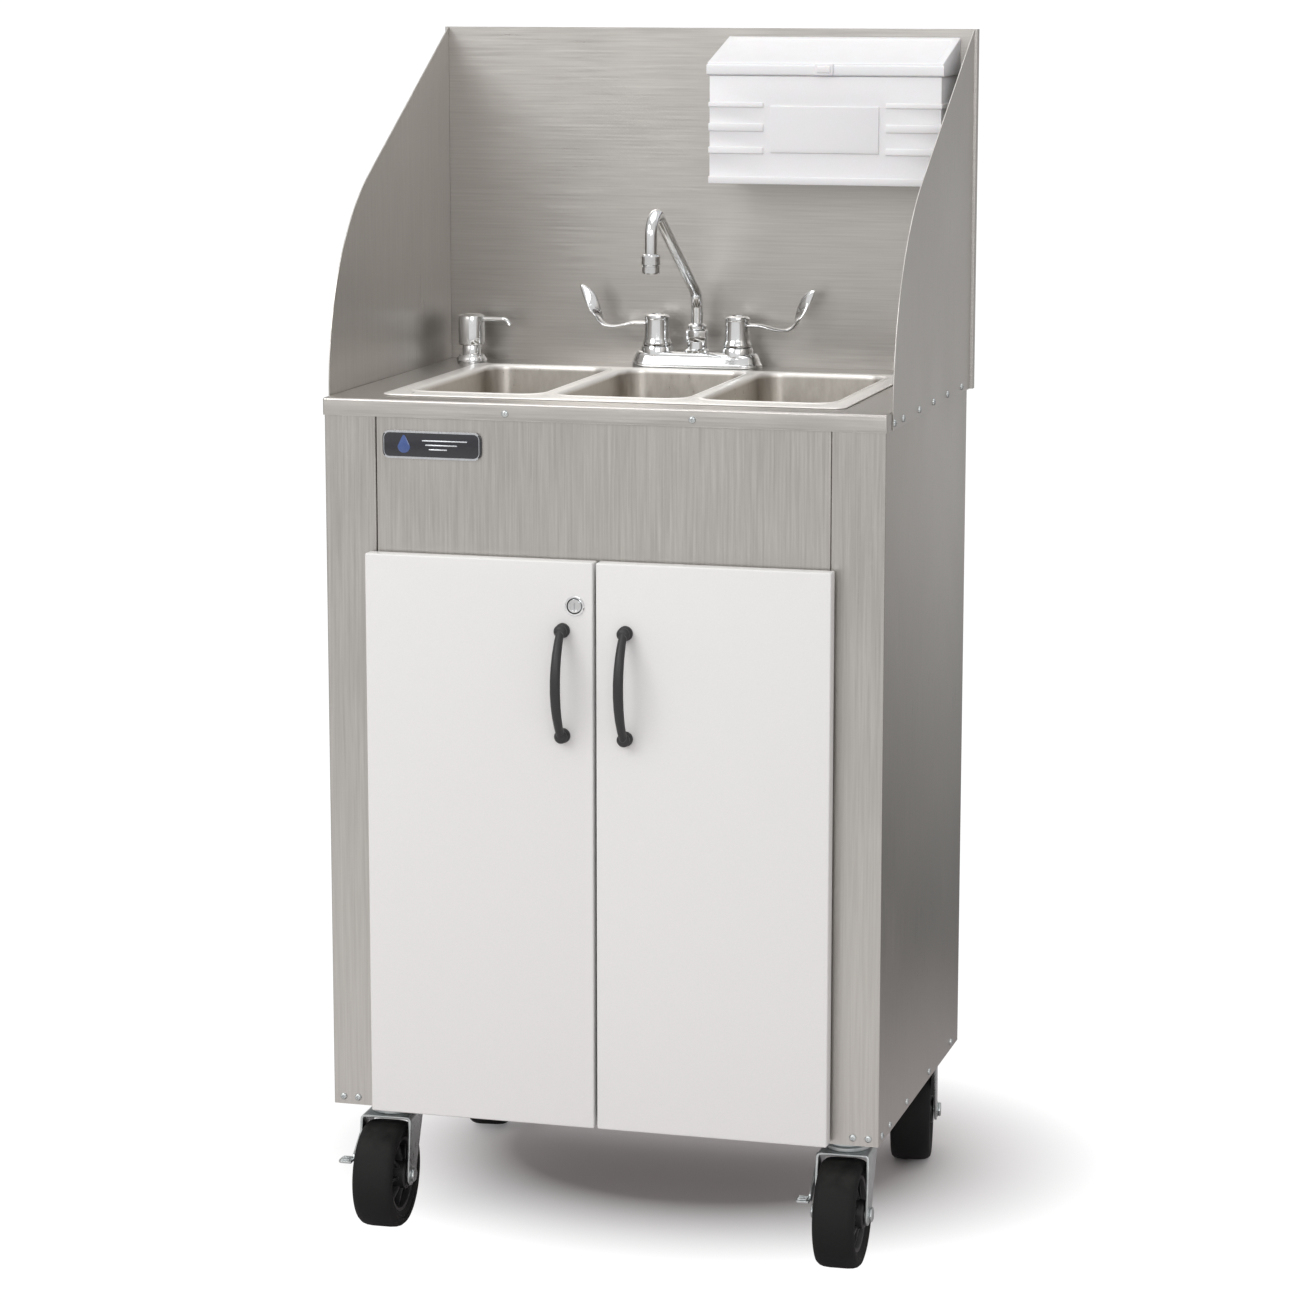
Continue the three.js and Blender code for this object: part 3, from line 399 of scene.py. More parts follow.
def build_wear():
    """Rubbed edges, broken up by noise, and dust on faces that look up."""
    group, start, end = new_group("Edge wear", [("Reach", "NodeSocketFloat", 0.001),
                                                ("Patches", "NodeSocketFloat", 40.0)], ["Wear", "Dust"])
    geometry = wire(group, "ShaderNodeNewGeometry")
    place_of = wire(group, "ShaderNodeTexCoord").outputs["Object"]
    noise = wire(group, "ShaderNodeTexNoise", {"Vector": place_of, "Scale": start.outputs["Patches"],
                                               "Detail": 4.0})
    rounded = wire(group, "ShaderNodeBevel", {"Radius": start.outputs["Reach"]}, samples=4)
    along = wire(group, "ShaderNodeVectorMath", {0: rounded.outputs[0], 1: geometry.outputs["Normal"]},
                 operation="DOT_PRODUCT")
    edge = spread(group, along.outputs["Value"], 0.995, 0.9)
    broken = spread(group, noise.outputs["Fac"], 0.4, 0.62)
    group.links.new(times(group, edge, broken), end.inputs["Wear"])
    up = wire(group, "ShaderNodeSeparateXYZ", {0: geometry.outputs["Normal"]}).outputs["Z"]
    group.links.new(times(group, spread(group, up, 0.5, 1.0), broken), end.inputs["Dust"])
    return group


def build_scratches():
    """Hair scratches and water marks, as a mask."""
    group, start, end = new_group(
        "Scratches", [("Stretch", "NodeSocketVector", (9, 9, 60)), ("Amount", "NodeSocketFloat", 0.5)],
        ["Scratches", "Spots"],
    )
    place_of = wire(group, "ShaderNodeTexCoord").outputs["Object"]
    drawn = wire(group, "ShaderNodeVectorMath", {0: place_of, 1: start.outputs["Stretch"]},
                 operation="MULTIPLY")
    lines = wire(group, "ShaderNodeTexNoise", {"Vector": drawn.outputs[0], "Scale": 9.0, "Detail": 1.0,
                                               "Distortion": 1.2})
    line = spread(group, lines.outputs["Fac"], 0.66, 0.7)
    spots = wire(group, "ShaderNodeTexVoronoi", {"Vector": place_of, "Scale": 70.0, "Randomness": 1.0})
    spot = spread(group, spots.outputs["Distance"], 0.16, 0.1)
    group.links.new(times(group, line, start.outputs["Amount"]), end.inputs["Scratches"])
    group.links.new(times(group, spot, start.outputs["Amount"]), end.inputs["Spots"])
    return group


GRAIN = build_grain()
WEAR = build_wear()
SCRATCHES = build_scratches()


# ---------- materials ----------
def mix(tree, mask, a, b):
    """Colour a where the mask is 0, colour b where it is 1."""
    node = wire(tree, "ShaderNodeMix", data_type="RGBA")
    for index, source in ((0, mask), (6, a), (7, b)):
        if isinstance(source, bpy.types.NodeSocket):
            tree.links.new(source, node.inputs[index])
        else:
            node.inputs[index].default_value = source
    return node.outputs[2]


def rgb(*levels):
    return (*levels, 1.0)


def material(name, dark, light, rough, stretch, relief, metallic=0.0, contrast=0.5, wear=None, reach=0.001,
             dust=0.0, marks=0.0, painted_rim_highlight=None, **sockets):
    """A finish: two colours mixed by grain, with worn edges, dust and marks, and, where asked, a painted
    highlight that turns the colour whitish and less metallic above a given height.
    """
    made = bpy.data.materials.new(name)
    made.use_nodes = True
    tree = made.node_tree
    shader = tree.nodes["Principled BSDF"]
    shader.inputs["Metallic"].default_value = metallic
    for key, value in sockets.items():
        shader.inputs[key.replace("_", " ")].default_value = value
    grain = wire(tree, "ShaderNodeGroup", node_tree=GRAIN)
    grain.inputs["Stretch"].default_value = stretch
    grain.inputs["Contrast"].default_value = contrast
    edges = wire(tree, "ShaderNodeGroup", node_tree=WEAR)
    edges.inputs["Reach"].default_value = reach
    scratches = wire(tree, "ShaderNodeGroup", node_tree=SCRATCHES)
    scratches.inputs["Amount"].default_value = marks
    colour = mix(tree, grain.outputs["Grain"], rgb(*dark), rgb(*light))
    if wear:
        colour = mix(tree, edges.outputs["Wear"], colour, rgb(*wear))
    if dust:
        colour = mix(tree, times(tree, edges.outputs["Dust"], dust), colour, rgb(0.55, 0.53, 0.5))
    roughness = spread(tree, grain.outputs["Grain"], 0.2, 0.8, rough[0], rough[1])
    cloudy = times(tree, grain.outputs["Cloud"], (rough[1] - rough[0]) * 0.6)
    roughness = times(tree, roughness, cloudy, "ADD")
    if marks:
        marked = times(tree, scratches.outputs["Scratches"], scratches.outputs["Spots"], "ADD")
        roughness = times(tree, roughness, times(tree, marked, 0.12), "ADD")
    # Painted highlight: above the given heights the colour turns whitish and less metallic, standing in for
    # light on the rim.
    if painted_rim_highlight:
        height = wire(tree, "ShaderNodeSeparateXYZ", {0: wire(tree, "ShaderNodeTexCoord").outputs["Object"]})
        painted_highlight_mask = spread(tree, height.outputs["Z"], painted_rim_highlight[0], painted_rim_highlight[1])
        colour = mix(tree, painted_highlight_mask, colour, rgb(0.95, 0.93, 0.9))
        painted_highlight_metallic = times(tree, 1.0, times(tree, painted_highlight_mask, 0.6), "SUBTRACT")
        tree.links.new(painted_highlight_metallic, shader.inputs["Metallic"])
    tree.links.new(colour, shader.inputs["Base Color"])
    tree.links.new(roughness, shader.inputs["Roughness"])
    bump = wire(tree, "ShaderNodeBump", {"Height": grain.outputs["Grain"], "Strength": 0.5,
                                         "Distance": relief})
    tree.links.new(bump.outputs["Normal"], shader.inputs["Normal"])
    return made


UPRIGHT = (420, 420, 9)
SIDEWAYS = (9, 420, 420)
ROUGH_CAST = (900, 900, 900)
steel = dict(dark=(0.47, 0.45, 0.43), light=(0.60, 0.58, 0.555), rough=(0.27, 0.36), relief=0.00004,
             metallic=1.0, contrast=0.7, wear=(0.82, 0.81, 0.79), marks=0.35)
STEEL_UPRIGHT = material("upright_brushed_steel", stretch=UPRIGHT, **steel)
STEEL_LEVEL = material("level_brushed_steel", stretch=SIDEWAYS, **steel)
STEEL_INSIDE = material("dull_inside_steel", (0.42, 0.41, 0.39), (0.54, 0.53, 0.51), (0.4, 0.5),
                        (9, 300, 300), 0.00003, metallic=1.0, dust=0.25)
# The basin's band near the rim carries a painted highlight.
BASIN = material("drawn_basin_steel", (0.46, 0.43, 0.39), (0.6, 0.57, 0.53), (0.26, 0.36), (160, 160, 60),
                 0.00003, metallic=1.0, contrast=0.6, marks=0.5, painted_rim_highlight=(0.9885, 0.9938))
CHROME = material("bright_chrome", (0.78, 0.79, 0.8), (0.86, 0.87, 0.88), (0.04, 0.1), (60, 60, 60), 0.000005,
                  metallic=1.0, contrast=0.8, marks=0.6)
LAMINATE = material("white_door_laminate", (0.74, 0.74, 0.735), (0.79, 0.79, 0.785), (0.3, 0.38),
                    (700, 700, 700), 0.00002, wear=(0.86, 0.86, 0.85), Coat_Weight=0.15,
                    Coat_Roughness=0.25)
BLACK_COAT = material("black_powder_coat", (0.012, 0.012, 0.013), (0.03, 0.03, 0.031), (0.34, 0.46),
                      ROUGH_CAST, 0.00005, wear=(0.12, 0.12, 0.12))
TOWEL_WHITE = material("moulded_white_plastic", (0.76, 0.76, 0.78), (0.82, 0.82, 0.84), (0.32, 0.42),
                       ROUGH_CAST, 0.00003, wear=(0.9, 0.9, 0.91), dust=0.06, Subsurface_Weight=0.08,
                       Subsurface_Scale=0.004)
BADGE = material("black_badge_enamel", (0.008, 0.009, 0.014), (0.02, 0.021, 0.03), (0.12, 0.2),
                 (200, 200, 200), 0.000005, Coat_Weight=0.6)
BADGE_TRIM = material("badge_silver", (0.62, 0.64, 0.68), (0.75, 0.77, 0.8), (0.2, 0.3), (300, 300, 20),
                      0.00001, metallic=1.0)
BADGE_BLUE = material("badge_blue", (0.03, 0.06, 0.2), (0.06, 0.12, 0.34), (0.15, 0.22), (120, 120, 120),
                      0.000005, Coat_Weight=0.6)
TANK_NATURAL = material("natural_tank_plastic", (0.7, 0.74, 0.76), (0.8, 0.83, 0.85), (0.38, 0.5),
                        (260, 260, 260), 0.00008, wear=(0.9, 0.92, 0.93), dust=0.1, Subsurface_Weight=0.2,
                        Subsurface_Scale=0.01)
TANK_GREY = material("grey_tank_plastic", (0.2, 0.215, 0.23), (0.27, 0.285, 0.3), (0.4, 0.52),
                     (260, 260, 260), 0.00008, wear=(0.4, 0.42, 0.44), dust=0.2)
ENAMEL = material("white_heater_enamel", (0.72, 0.72, 0.69), (0.78, 0.78, 0.75), (0.22, 0.32),
                  (500, 500, 500), 0.00002, wear=(0.86, 0.86, 0.84), dust=0.1, Coat_Weight=0.3)
BLACK_PLASTIC = material("moulded_black_plastic", (0.018, 0.018, 0.02), (0.036, 0.036, 0.04), (0.42, 0.55),
                         ROUGH_CAST, 0.00004, wear=(0.14, 0.14, 0.15), dust=0.12)
HOSE = material("reinforced_hose", (0.2, 0.22, 0.24), (0.3, 0.33, 0.36), (0.4, 0.5), (500, 500, 500),
                0.0001, dust=0.1)
DRAIN_WHITE = material("white_drain_pipe", (0.74, 0.74, 0.73), (0.8, 0.8, 0.79), (0.3, 0.4),
                       (300, 300, 300), 0.00002, dust=0.15)
ZINC = material("bright_zinc_plate", (0.46, 0.49, 0.5), (0.66, 0.69, 0.69), (0.22, 0.36), (90, 90, 90),
                0.00002, metallic=1.0, contrast=0.9, wear=(0.85, 0.86, 0.86))
TYRE = material("black_tyre_rubber", (0.007, 0.007, 0.007), (0.016, 0.016, 0.016), (0.55, 0.7),
                (420, 420, 420), 0.00008, wear=(0.04, 0.039, 0.037), reach=0.002, dust=0.03,
                Specular_IOR_Level=0.2)
CORE = material("black_wheel_core", (0.01, 0.01, 0.011), (0.022, 0.022, 0.024), (0.3, 0.42), ROUGH_CAST,
                0.00003, wear=(0.08, 0.08, 0.08))
PAPER = material("folded_towel_paper", (0.72, 0.7, 0.66), (0.82, 0.8, 0.77), (0.8, 0.9), (500, 500, 60),
                 0.00015)


WELD_REACH = 0.00002


def dress(finish, *names, bevel=0.0004, segments=2):
    """Gives CAD nodes that stay their finish and soft edges."""
    for name in names:
        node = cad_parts[name]
        node.data.materials.clear()
        node.data.materials.append(finish)
        node.modifiers.new("merge", "WELD").merge_threshold = WELD_REACH
        edge = node.modifiers.new("edges", "BEVEL")
        edge.width = bevel
        edge.segments = segments
        edge.limit_method = "ANGLE"
        edge.angle_limit = math.radians(38)


# ---------- cabinet sheets ----------
def make_side_panels():
    low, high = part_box("side_panel_right")
    inner, outer, front, back = low.x, high.x, low.y, high.y
    path = [(inner, front + 0.04), (inner, front), (outer, front), (outer, back), (outer - 0.025, back)]
    notch = (inner - 0.001, inner + 0.001, low.z + 0.0253)
    right = folded("side_sheet_right", path, low.z, high.z, notch=notch)
    painted_reflection_glow = [(-x, y) for x, y in reversed(path)]
    left = folded("side_sheet_left", painted_reflection_glow, low.z, high.z, notch=notch)
    finish_piece(right, "cabinet", "cabinet_steel", STEEL_UPRIGHT, "side_panel_right")
    finish_piece(left, "cabinet", "cabinet_steel", STEEL_UPRIGHT, "side_panel_left")


def make_fascia():
    low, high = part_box("fascia_panel")
    path = [(low.x, high.y), (low.x, low.y), (high.x, low.y), (high.x, high.y)]
    fascia = folded("fascia_sheet", path, low.z, high.z, bend=0.0018)
    finish_piece(fascia, "cabinet", "cabinet_steel", STEEL_UPRIGHT, "fascia_panel")


def make_counter():
    """The counter: a level sheet with the basins' opening and a lip folded down on three sides."""
    low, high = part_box("counter_top")
    sink_low, sink_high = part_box("triple_sink")
    opening = (sink_low.x + 0.018, sink_high.x - 0.018, sink_low.y + 0.032, sink_high.y - 0.012)
    counter = flat("counter_sheet", low, high, high.z)
    edit(counter)
    for x in opening[:2]:
        slice_at("X", x)
    for y in opening[2:]:
        slice_at("Y", y)
    pick("FACE", lambda face: abs(middle(face).x) < 0.1 and abs(middle(face).y) < 0.1)
    bpy.ops.mesh.delete(type="FACE")
    rim = lambda edge: middle(edge).y < low.y + CLOSE or abs(middle(edge).x) > high.x - CLOSE
    pick("EDGE", rim)
    push(0, 0, low.z - high.z)
    at_top = lambda edge: abs(middle(edge).z - high.z) < CLOSE and rim(edge)
    at_corner = lambda edge: middle(edge).y < low.y + CLOSE and abs(middle(edge).x) > high.x - CLOSE
    upright = lambda edge: spans(edge, "z", 0.01) and at_corner(edge)
    bevel_edges(lambda edge: at_top(edge) or upright(edge), 0.0026, 4)
    done()
    modify(counter, "SOLIDIFY", thickness=SHEET, offset=-1)
    smooth(counter)
    finish_piece(counter, "cabinet", "cabinet_steel", STEEL_LEVEL, "counter_top")


def make_backsplash():
    """The back sheet, with a hem turned back along its top and both sides."""
    low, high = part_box("backsplash")
    path = [(low.x, high.y), (low.x, low.y), (high.x, low.y), (high.x, high.y)]
    splash = folded("back_splash_sheet", path, low.z, high.z, bend=0.0016)
    hem = block("splash_hem", (low.x + 0.001, low.y + 0.0006, high.z - 0.0012),
                (high.x - 0.001, high.y, high.z))
    soften(hem, 0.0004)
    join("back_splash_sheet", [splash, hem])
    finish_piece(splash, "cabinet", "cabinet_steel", STEEL_LEVEL, "backsplash")


def make_louvre():
    """A pressed louvre: a half-round hood with closed ends."""
    louvre = block("louvre", (-0.045, 0, -0.006), (0.045, 0.006, 0.006))
    edit(louvre)
    bevel_edges(lambda edge: middle(edge).y > 0.005 and middle(edge).z > 0.005, 0.0055, 5)
    bevel_edges(lambda edge: abs(middle(edge).x) > 0.0449 and middle(edge).y > 0.001, 0.003, 3)
    pick("FACE", lambda face: face.normal.z < -0.9)
    inset(0.001)
    push(0, 0, 0.004)
    done()
    smooth(louvre, 40)
    return louvre


def make_back_louvres():
    low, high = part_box("back_panel")
    first = make_louvre()
    louvres = []
    for column in (-0.07, 0.07):
        for row in range(5):
            one = copy_of(first, "louvre_copy")
            louvres.append(place(one, (column, high.y, low.z + 0.09 + row * 0.024)))
    bpy.data.objects.remove(first)
    finish_piece(join("back_louvres", louvres), "cabinet", "cabinet_steel", STEEL_INSIDE)


# ---------- screws ----------
def make_screw():
    """A pan-head screw with a cross recess, its head standing out along -Y from the origin."""
    head = turn("screw", (0, 0, 0), [(0.0042, 0), (0.0042, 0.0007), (0.0036, 0.0017), (0.0022, 0.0023),
                                     (0.0009, 0.0024)], axis="Z", sides=20)
    bars = [block("bar", (-0.0021, -0.0004, 0.0012), (0.0021, 0.0004, 0.004)),
            block("bar", (-0.0004, -0.0021, 0.0012), (0.0004, 0.0021, 0.004))]
    cut_out(head, *bars)
    smooth(head, 40)
    return place(head, swing=(math.pi / 2, 0, 0))


def set_screws(name, body, places, face="front"):
    """Copies of the screw, joined as one piece, on faces that look forward, right, left or back."""
    turns = {"front": 0, "right": math.pi / 2, "left": -math.pi / 2, "back": math.pi}
    copies = [place(copy_of(SCREW, "screw_copy"), spot, (0, 0, turns[face])) for spot in places]
    return finish_piece(join(name, copies), body, "zinc_plated", ZINC)


def make_cabinet_screws():
    counter_low, counter_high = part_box("counter_top")
    side_low, side_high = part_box("side_panel_right")
    guard_low, guard_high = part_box("splash_guard_right")
    lip = counter_high.z - 0.012
    set_screws("lip_screws", "cabinet", [(x, counter_low.y, lip) for x in (-0.111, 0.108)])
    foot = side_low.z + 0.009
    set_screws("stile_screws", "cabinet",
               [(sign * x, side_low.y, foot) for sign in (-1, 1) for x in (0.3165, 0.2985)])
    along_side = [side_low.y + reach for reach in (0.017, 0.06, 0.155, 0.285, 0.42)]
    along_guard = [guard_low.y + reach for reach in (0.006, 0.053, 0.142, 0.223, 0.305, 0.391)]
    for side, sign in (("right", 1), ("left", -1)):
        beside = [(sign * side_high.x, y, foot) for y in along_side]
        set_screws(f"side_screws_{side}", "cabinet", beside, side)
        beside = [(sign * guard_high.x, y, guard_low.z + 0.008) for y in along_guard]
        set_screws(f"guard_screws_{side}", "cabinet", beside, side)
    rows = [side_low.z + 0.03 + step * 0.155 for step in range(6)]
    set_screws("back_screws", "cabinet", [(sign * 0.315, side_high.y, z) for sign in (-1, 1) for z in rows],
               "back")


# ---------- basins and drains ----------
def make_bowl(x, y, half_x, half_y, top, bottom):
    """One drawn basin: pulled down from a rolled rim to a dished floor with a round drain seat."""
    rim = 0.0035
    bowl = flat("bowl", (x - half_x - rim, y - half_y - rim), (x + half_x + rim, y + half_y + rim), top
                + 0.0002)
    edit(bowl)
    bpy.ops.mesh.select_all(action="SELECT")
    bpy.ops.mesh.bevel(offset=0.03, segments=8, affect="VERTICES")
    bpy.ops.mesh.select_mode(type="FACE")
    bpy.ops.mesh.select_all(action="SELECT")
    profile = [(-0.0024, 0.0009), (-0.0008, 0.0011), (0.0006, 0.0002), (0.0014, -0.0016), (0.0018, -0.005),
               (0.006, bottom - top + 0.034), (0.0085, bottom - top + 0.02), (0.0128, bottom - top + 0.009),
               (0.019, bottom - top + 0.0028), (0.028, bottom - top + 0.0008)]
    inset, height = -rim, 0.0002
    for next_inset, next_height in profile:
        push(0, 0, next_height - height)
        resize((half_x - next_inset) / (half_x - inset), (half_y - next_inset) / (half_y - inset), 1,
               (x, y, 0))
        inset, height = next_inset, next_height
    push(0, 0, -0.0004)
    resize(0.036 / (half_x - inset), 0.036 / (half_y - inset), 1, (x, y, 0))
    bpy.ops.transform.tosphere(value=1.0)
    push(0, 0, -0.0014)
    resize(0.88, 0.88, 1, (x, y, 0))
    push(0, 0, 0)
    resize(0.62, 0.62, 1, (x, y, 0))
    bpy.ops.mesh.delete(type="FACE")
    pick("FACE", lambda face: len(face.verts) > 4)
    bpy.ops.mesh.delete(type="ONLY_FACE")
    bpy.ops.mesh.select_all(action="SELECT")
    bpy.ops.mesh.remove_doubles(threshold=SAME_PLACE)
    bpy.ops.mesh.normals_make_consistent(inside=False)
    form = bmesh.from_edit_mesh(bowl.data)
    form.faces.ensure_lookup_table()
    lowest = min(form.faces, key=lambda face: middle(face).z)
    if lowest.normal.z < 0:
        bpy.ops.mesh.flip_normals()
    done()
    modify(bowl, "SOLIDIFY", thickness=0.001, offset=-1)
    smooth(bowl, 50)
    return bowl


def make_sink():
    low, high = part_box("triple_sink")
    front, back = low.y + 0.036, high.y - 0.016
    half_x = (high.x - low.x - 0.072) / 6
    pitch = half_x * 2 + 0.014
    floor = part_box("basin_drain_middle")[1].z - 0.0023
    plate = block("sink_plate", (low.x, low.y, high.z - 0.0015), high)
    round_corners(plate, "z", 0.014, 6)
    tools = []
    for step in (-1, 0, 1):
        tool = block("tool", (step * pitch - half_x - 0.0004, front - 0.0004, high.z - 0.01),
                     (step * pitch + half_x + 0.0004, back + 0.0004, high.z + 0.01))
        round_corners(tool, "z", 0.0275, 8)
        tools.append(tool)
    cut_out(plate, *tools)
    soften(plate, 0.0005)
    bowls = [make_bowl(step * pitch, (front + back) / 2, half_x, (back - front) / 2, high.z, floor)
             for step in (-1, 0, 1)]
    sink = join("sink_basins", [plate, *bowls])
    finish_piece(sink, "cabinet", "basin_steel", BASIN, "triple_sink")


def make_drains():
    """Each drain: a polished flange, a perforated strainer and a threaded tail with its nut."""
    for name in ("left", "middle", "right"):
        low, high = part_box(f"basin_drain_{name}")
        centre = ((low.x + high.x) / 2, (low.y + high.y) / 2, 0)
        seat = high.z - 0.002
        profile = [(0.0165, low.z), (0.019, low.z), (0.019, seat - 0.03), (0.027, seat - 0.03),
                   (0.027, seat - 0.021), (0.02, seat - 0.021), (0.02, seat - 0.002), (0.0295, seat),
                   (0.03, seat + 0.0009), (0.0285, seat + 0.002), (0.0235, seat + 0.0017),
                   (0.0215, seat - 0.001), (0.0205, seat - 0.008), (0.0165, seat - 0.012), (0.0165, low.z)]
        drain = turn("drain", centre, profile, sides=40, bore=True, crease=40)
        plate = turn("strainer", centre, [(0.0206, seat - 0.0075), (0.0206, seat - 0.0063),
                                          (0.012, seat - 0.0052), (0.003, seat - 0.0048)], sides=32)
        holes = []
        for ring, count in ((0.0085, 6), (0.0155, 12)):
            for step in range(count):
                angle = 2 * math.pi * step / count
                spot = (centre[0] + ring * math.cos(angle), centre[1] + ring * math.sin(angle))
                holes.append(rod("hole", (*spot, seat - 0.01), (*spot, seat), 0.0019, 10))
        cut_out(plate, join("holes", holes))
        piece = join(f"drain_{name}", [drain, plate])
        finish_piece(piece, "cabinet", "chrome_fittings", CHROME, f"basin_drain_{name}")


# ---------- faucet ----------
HUB_OFFSET = 0.0508
# Each step of a wrist blade: length or bend, how much wider and thicker it gets, and twist in degrees.
BLADE_STEPS = [(0.014, 1.1, 0.95, 0), ((-14, 0.03), 1.12, 0.95, 0), (0.014, 1.14, 0.98, 12),
               ((24, 0.035), 1.14, 1.0, 18), ((58, 0.019), 1.1, 1.0, 28), (0.012, 1.08, 1.05, 24),
               (0.012, 1.06, 1.0, 14), (0.011, 0.95, 0.92, 0), (0.005, 0.66, 0.7, 0)]


def hex_nut(name, centre, radius, low, high):
    nut = turn(name, centre, [(radius * 0.9, low), (radius, low + 0.001), (radius, high - 0.001),
                              (radius * 0.9, high)], sides=6)
    soften(nut, 0.0006, 2, 25)
    return nut


def make_faucet():
    """The deck body: a domed oval casting with two hub seats, a spout nut and shanks below the counter."""
    low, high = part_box("faucet_body")
    middle_y = (low.y + high.y) / 2
    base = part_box("counter_top")[1].z + 0.0003
    half_y = (high.y - low.y) / 2
    deck = block("faucet_deck", (low.x, low.y, base), (high.x, high.y, base + 0.006))
    edit(deck)
    bevel_edges(lambda edge: spans(edge, "z"), half_y - 0.0003, 10)
    pick("FACE", lambda face: face.normal.z > 0.9)
    for rise, wide, deep in ((0.001, 0.985, 0.95), (0.006, 0.975, 0.93), (0.0045, 0.975, 0.9),
                             (0.002, 0.97, 0.86), (0.0008, 0.93, 0.7)):
        push(0, 0, rise)
        resize(wide, deep, 1, (0, middle_y, 0))
    done()
    soften(deck, 0.0006, 2, 30)
    parts = [deck]
    top = base + 0.02
    for sign in (-1, 1):
        spot = (sign * HUB_OFFSET, middle_y, 0)
        seat = turn("seat", spot, [(0.0195, top - 0.005), (0.0195, top + 0.004), (0.0185, top + 0.0062),
                                   (0.0165, top + 0.007)], sides=40, crease=30)
        shank = turn("shank", spot, [(0.01, low.z), (0.01, base + 0.001)], sides=24)
        parts += [seat, shank, hex_nut("shank_nut", spot, 0.019, base - 0.018, base - 0.008)]
    collar = turn("collar", (0, middle_y, 0), [(0.016, top - 0.003), (0.016, top + 0.002),
                                               (0.0128, top + 0.004), (0.0122, top + 0.012)], sides=36,
                  crease=30)
    parts += [collar, hex_nut("spout_nut", (0, middle_y, 0), 0.0142, top + 0.0115, high.z)]
    finish_piece(join("faucet_deck_body", parts), "cabinet", "chrome_fittings", CHROME, "faucet_body")


def make_handle(side, sign):
    """A hub with a turned foot and domed cap, and a wrist blade that dips and turns up."""
    low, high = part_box(f"{side}_handle")
    centre = Vector((sign * HUB_OFFSET, (low.y + high.y) / 2, 0))
    base, top = low.z, low.z + 0.038
    hub = turn("hub", centre, [(0.0172, base), (0.0176, base + 0.0015), (0.0172, base + 0.004),
                               (0.0158, base + 0.0065), (0.0153, base + 0.009), (0.0148, top - 0.0065),
                               (0.0153, top - 0.0055), (0.0153, top - 0.0035), (0.0142, top - 0.0018),
                               (0.0085, top - 0.0003), (0.008, top - 0.0012), (0.002, top - 0.0008)],
               sides=40, crease=25)
    arm = top - 0.0118
    blade = block("blade", (centre.x + sign * 0.01 - 0.002, centre.y - 0.0068, arm - 0.0028),
                  (centre.x + sign * 0.01 + 0.002, centre.y + 0.0068, arm + 0.0028))
    edit(blade)
    pick("FACE", lambda face: face.normal.x * sign > 0.9)
    here = Vector((centre.x + sign * 0.012, centre.y, arm))
    way = Vector((sign, 0, 0))
    axis = Vector((0, -sign, 0))
    for step, wide, thick, twist in BLADE_STEPS:
        here, way = sweep(here, way, axis, [step])
        bpy.ops.transform.rotate(value=-math.radians(twist) * sign, orient_axis="Z", center_override=here)
        across = [1, wide, 1]
        across[2 if abs(way.x) > abs(way.z) else 0] = thick
        resize(*across, here)
    tidy_faces()
    done()
    round_over(blade)
    body = f"{side}_handle"
    finish_piece(join(f"{side}_wrist_handle", [hub, blade]), body, "chrome_fittings", CHROME,
                 f"{side}_handle")


def make_spout():
    """The swivel spout: an upright tube, a long rising reach, a turned-down end and a banded aerator."""
    low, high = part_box("faucet_spout")
    centre_y = (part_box("faucet_body")[0].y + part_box("faucet_body")[1].y) / 2
    start = (0, centre_y, low.z)
    outlet_y = low.y + 0.011
    reach = centre_y - outlet_y
    rise = 31.0
    steps = [0.026, (90 - rise, 0.03)]
    turn_out = math.radians(90 - rise)
    used_y = 0.03 * (1 - math.cos(turn_out))
    used_z = 0.026 + 0.03 * math.sin(turn_out)
    lift = math.radians(rise)
    end_bend = 0.024
    end_y = end_bend * (math.sin(lift) + 1)
    run = (reach - used_y - end_y) / math.cos(lift)
    top_z = low.z + used_z + run * math.sin(lift) + end_bend * (1 - math.cos(lift))
    steps += [run, (90 + rise, end_bend), top_z - end_bend - low.z - 0.103]
    tube = pipe("spout_tube", start, (0, 0, 1), (1, 0, 0), 0.0072, steps, 24)
    smooth(tube, 40)
    tube_end = min((v.co.z for v in tube.data.vertices if v.co.y < outlet_y + 0.004), default=low.z)
    foot = turn("spout_foot", (0, centre_y, 0), [(0.0105, low.z), (0.0115, low.z + 0.0012),
                                                 (0.0115, low.z + 0.0042), (0.0098, low.z + 0.0062),
                                                 (0.0074, low.z + 0.0075)], sides=32, crease=30)
    tip = turn("aerator", (0, outlet_y, 0), [(0.0095, tube_end - 0.019), (0.0106, tube_end - 0.018),
                                             (0.0106, tube_end - 0.011), (0.0098, tube_end - 0.0105),
                                             (0.0098, tube_end - 0.009), (0.011, tube_end - 0.0085),
                                             (0.011, tube_end + 0.001), (0.0098, tube_end + 0.003),
                                             (0.0074, tube_end + 0.004)], sides=36)
    edit(tip)
    pick("FACE", lambda face: face.normal.z < -0.9)
    inset(0.0016)
    push(0, 0, 0.004)
    done()
    smooth(tip, 30)
    finish_piece(join("swivel_spout", [tube, foot, tip]), "spout", "chrome_fittings", CHROME, "faucet_spout")


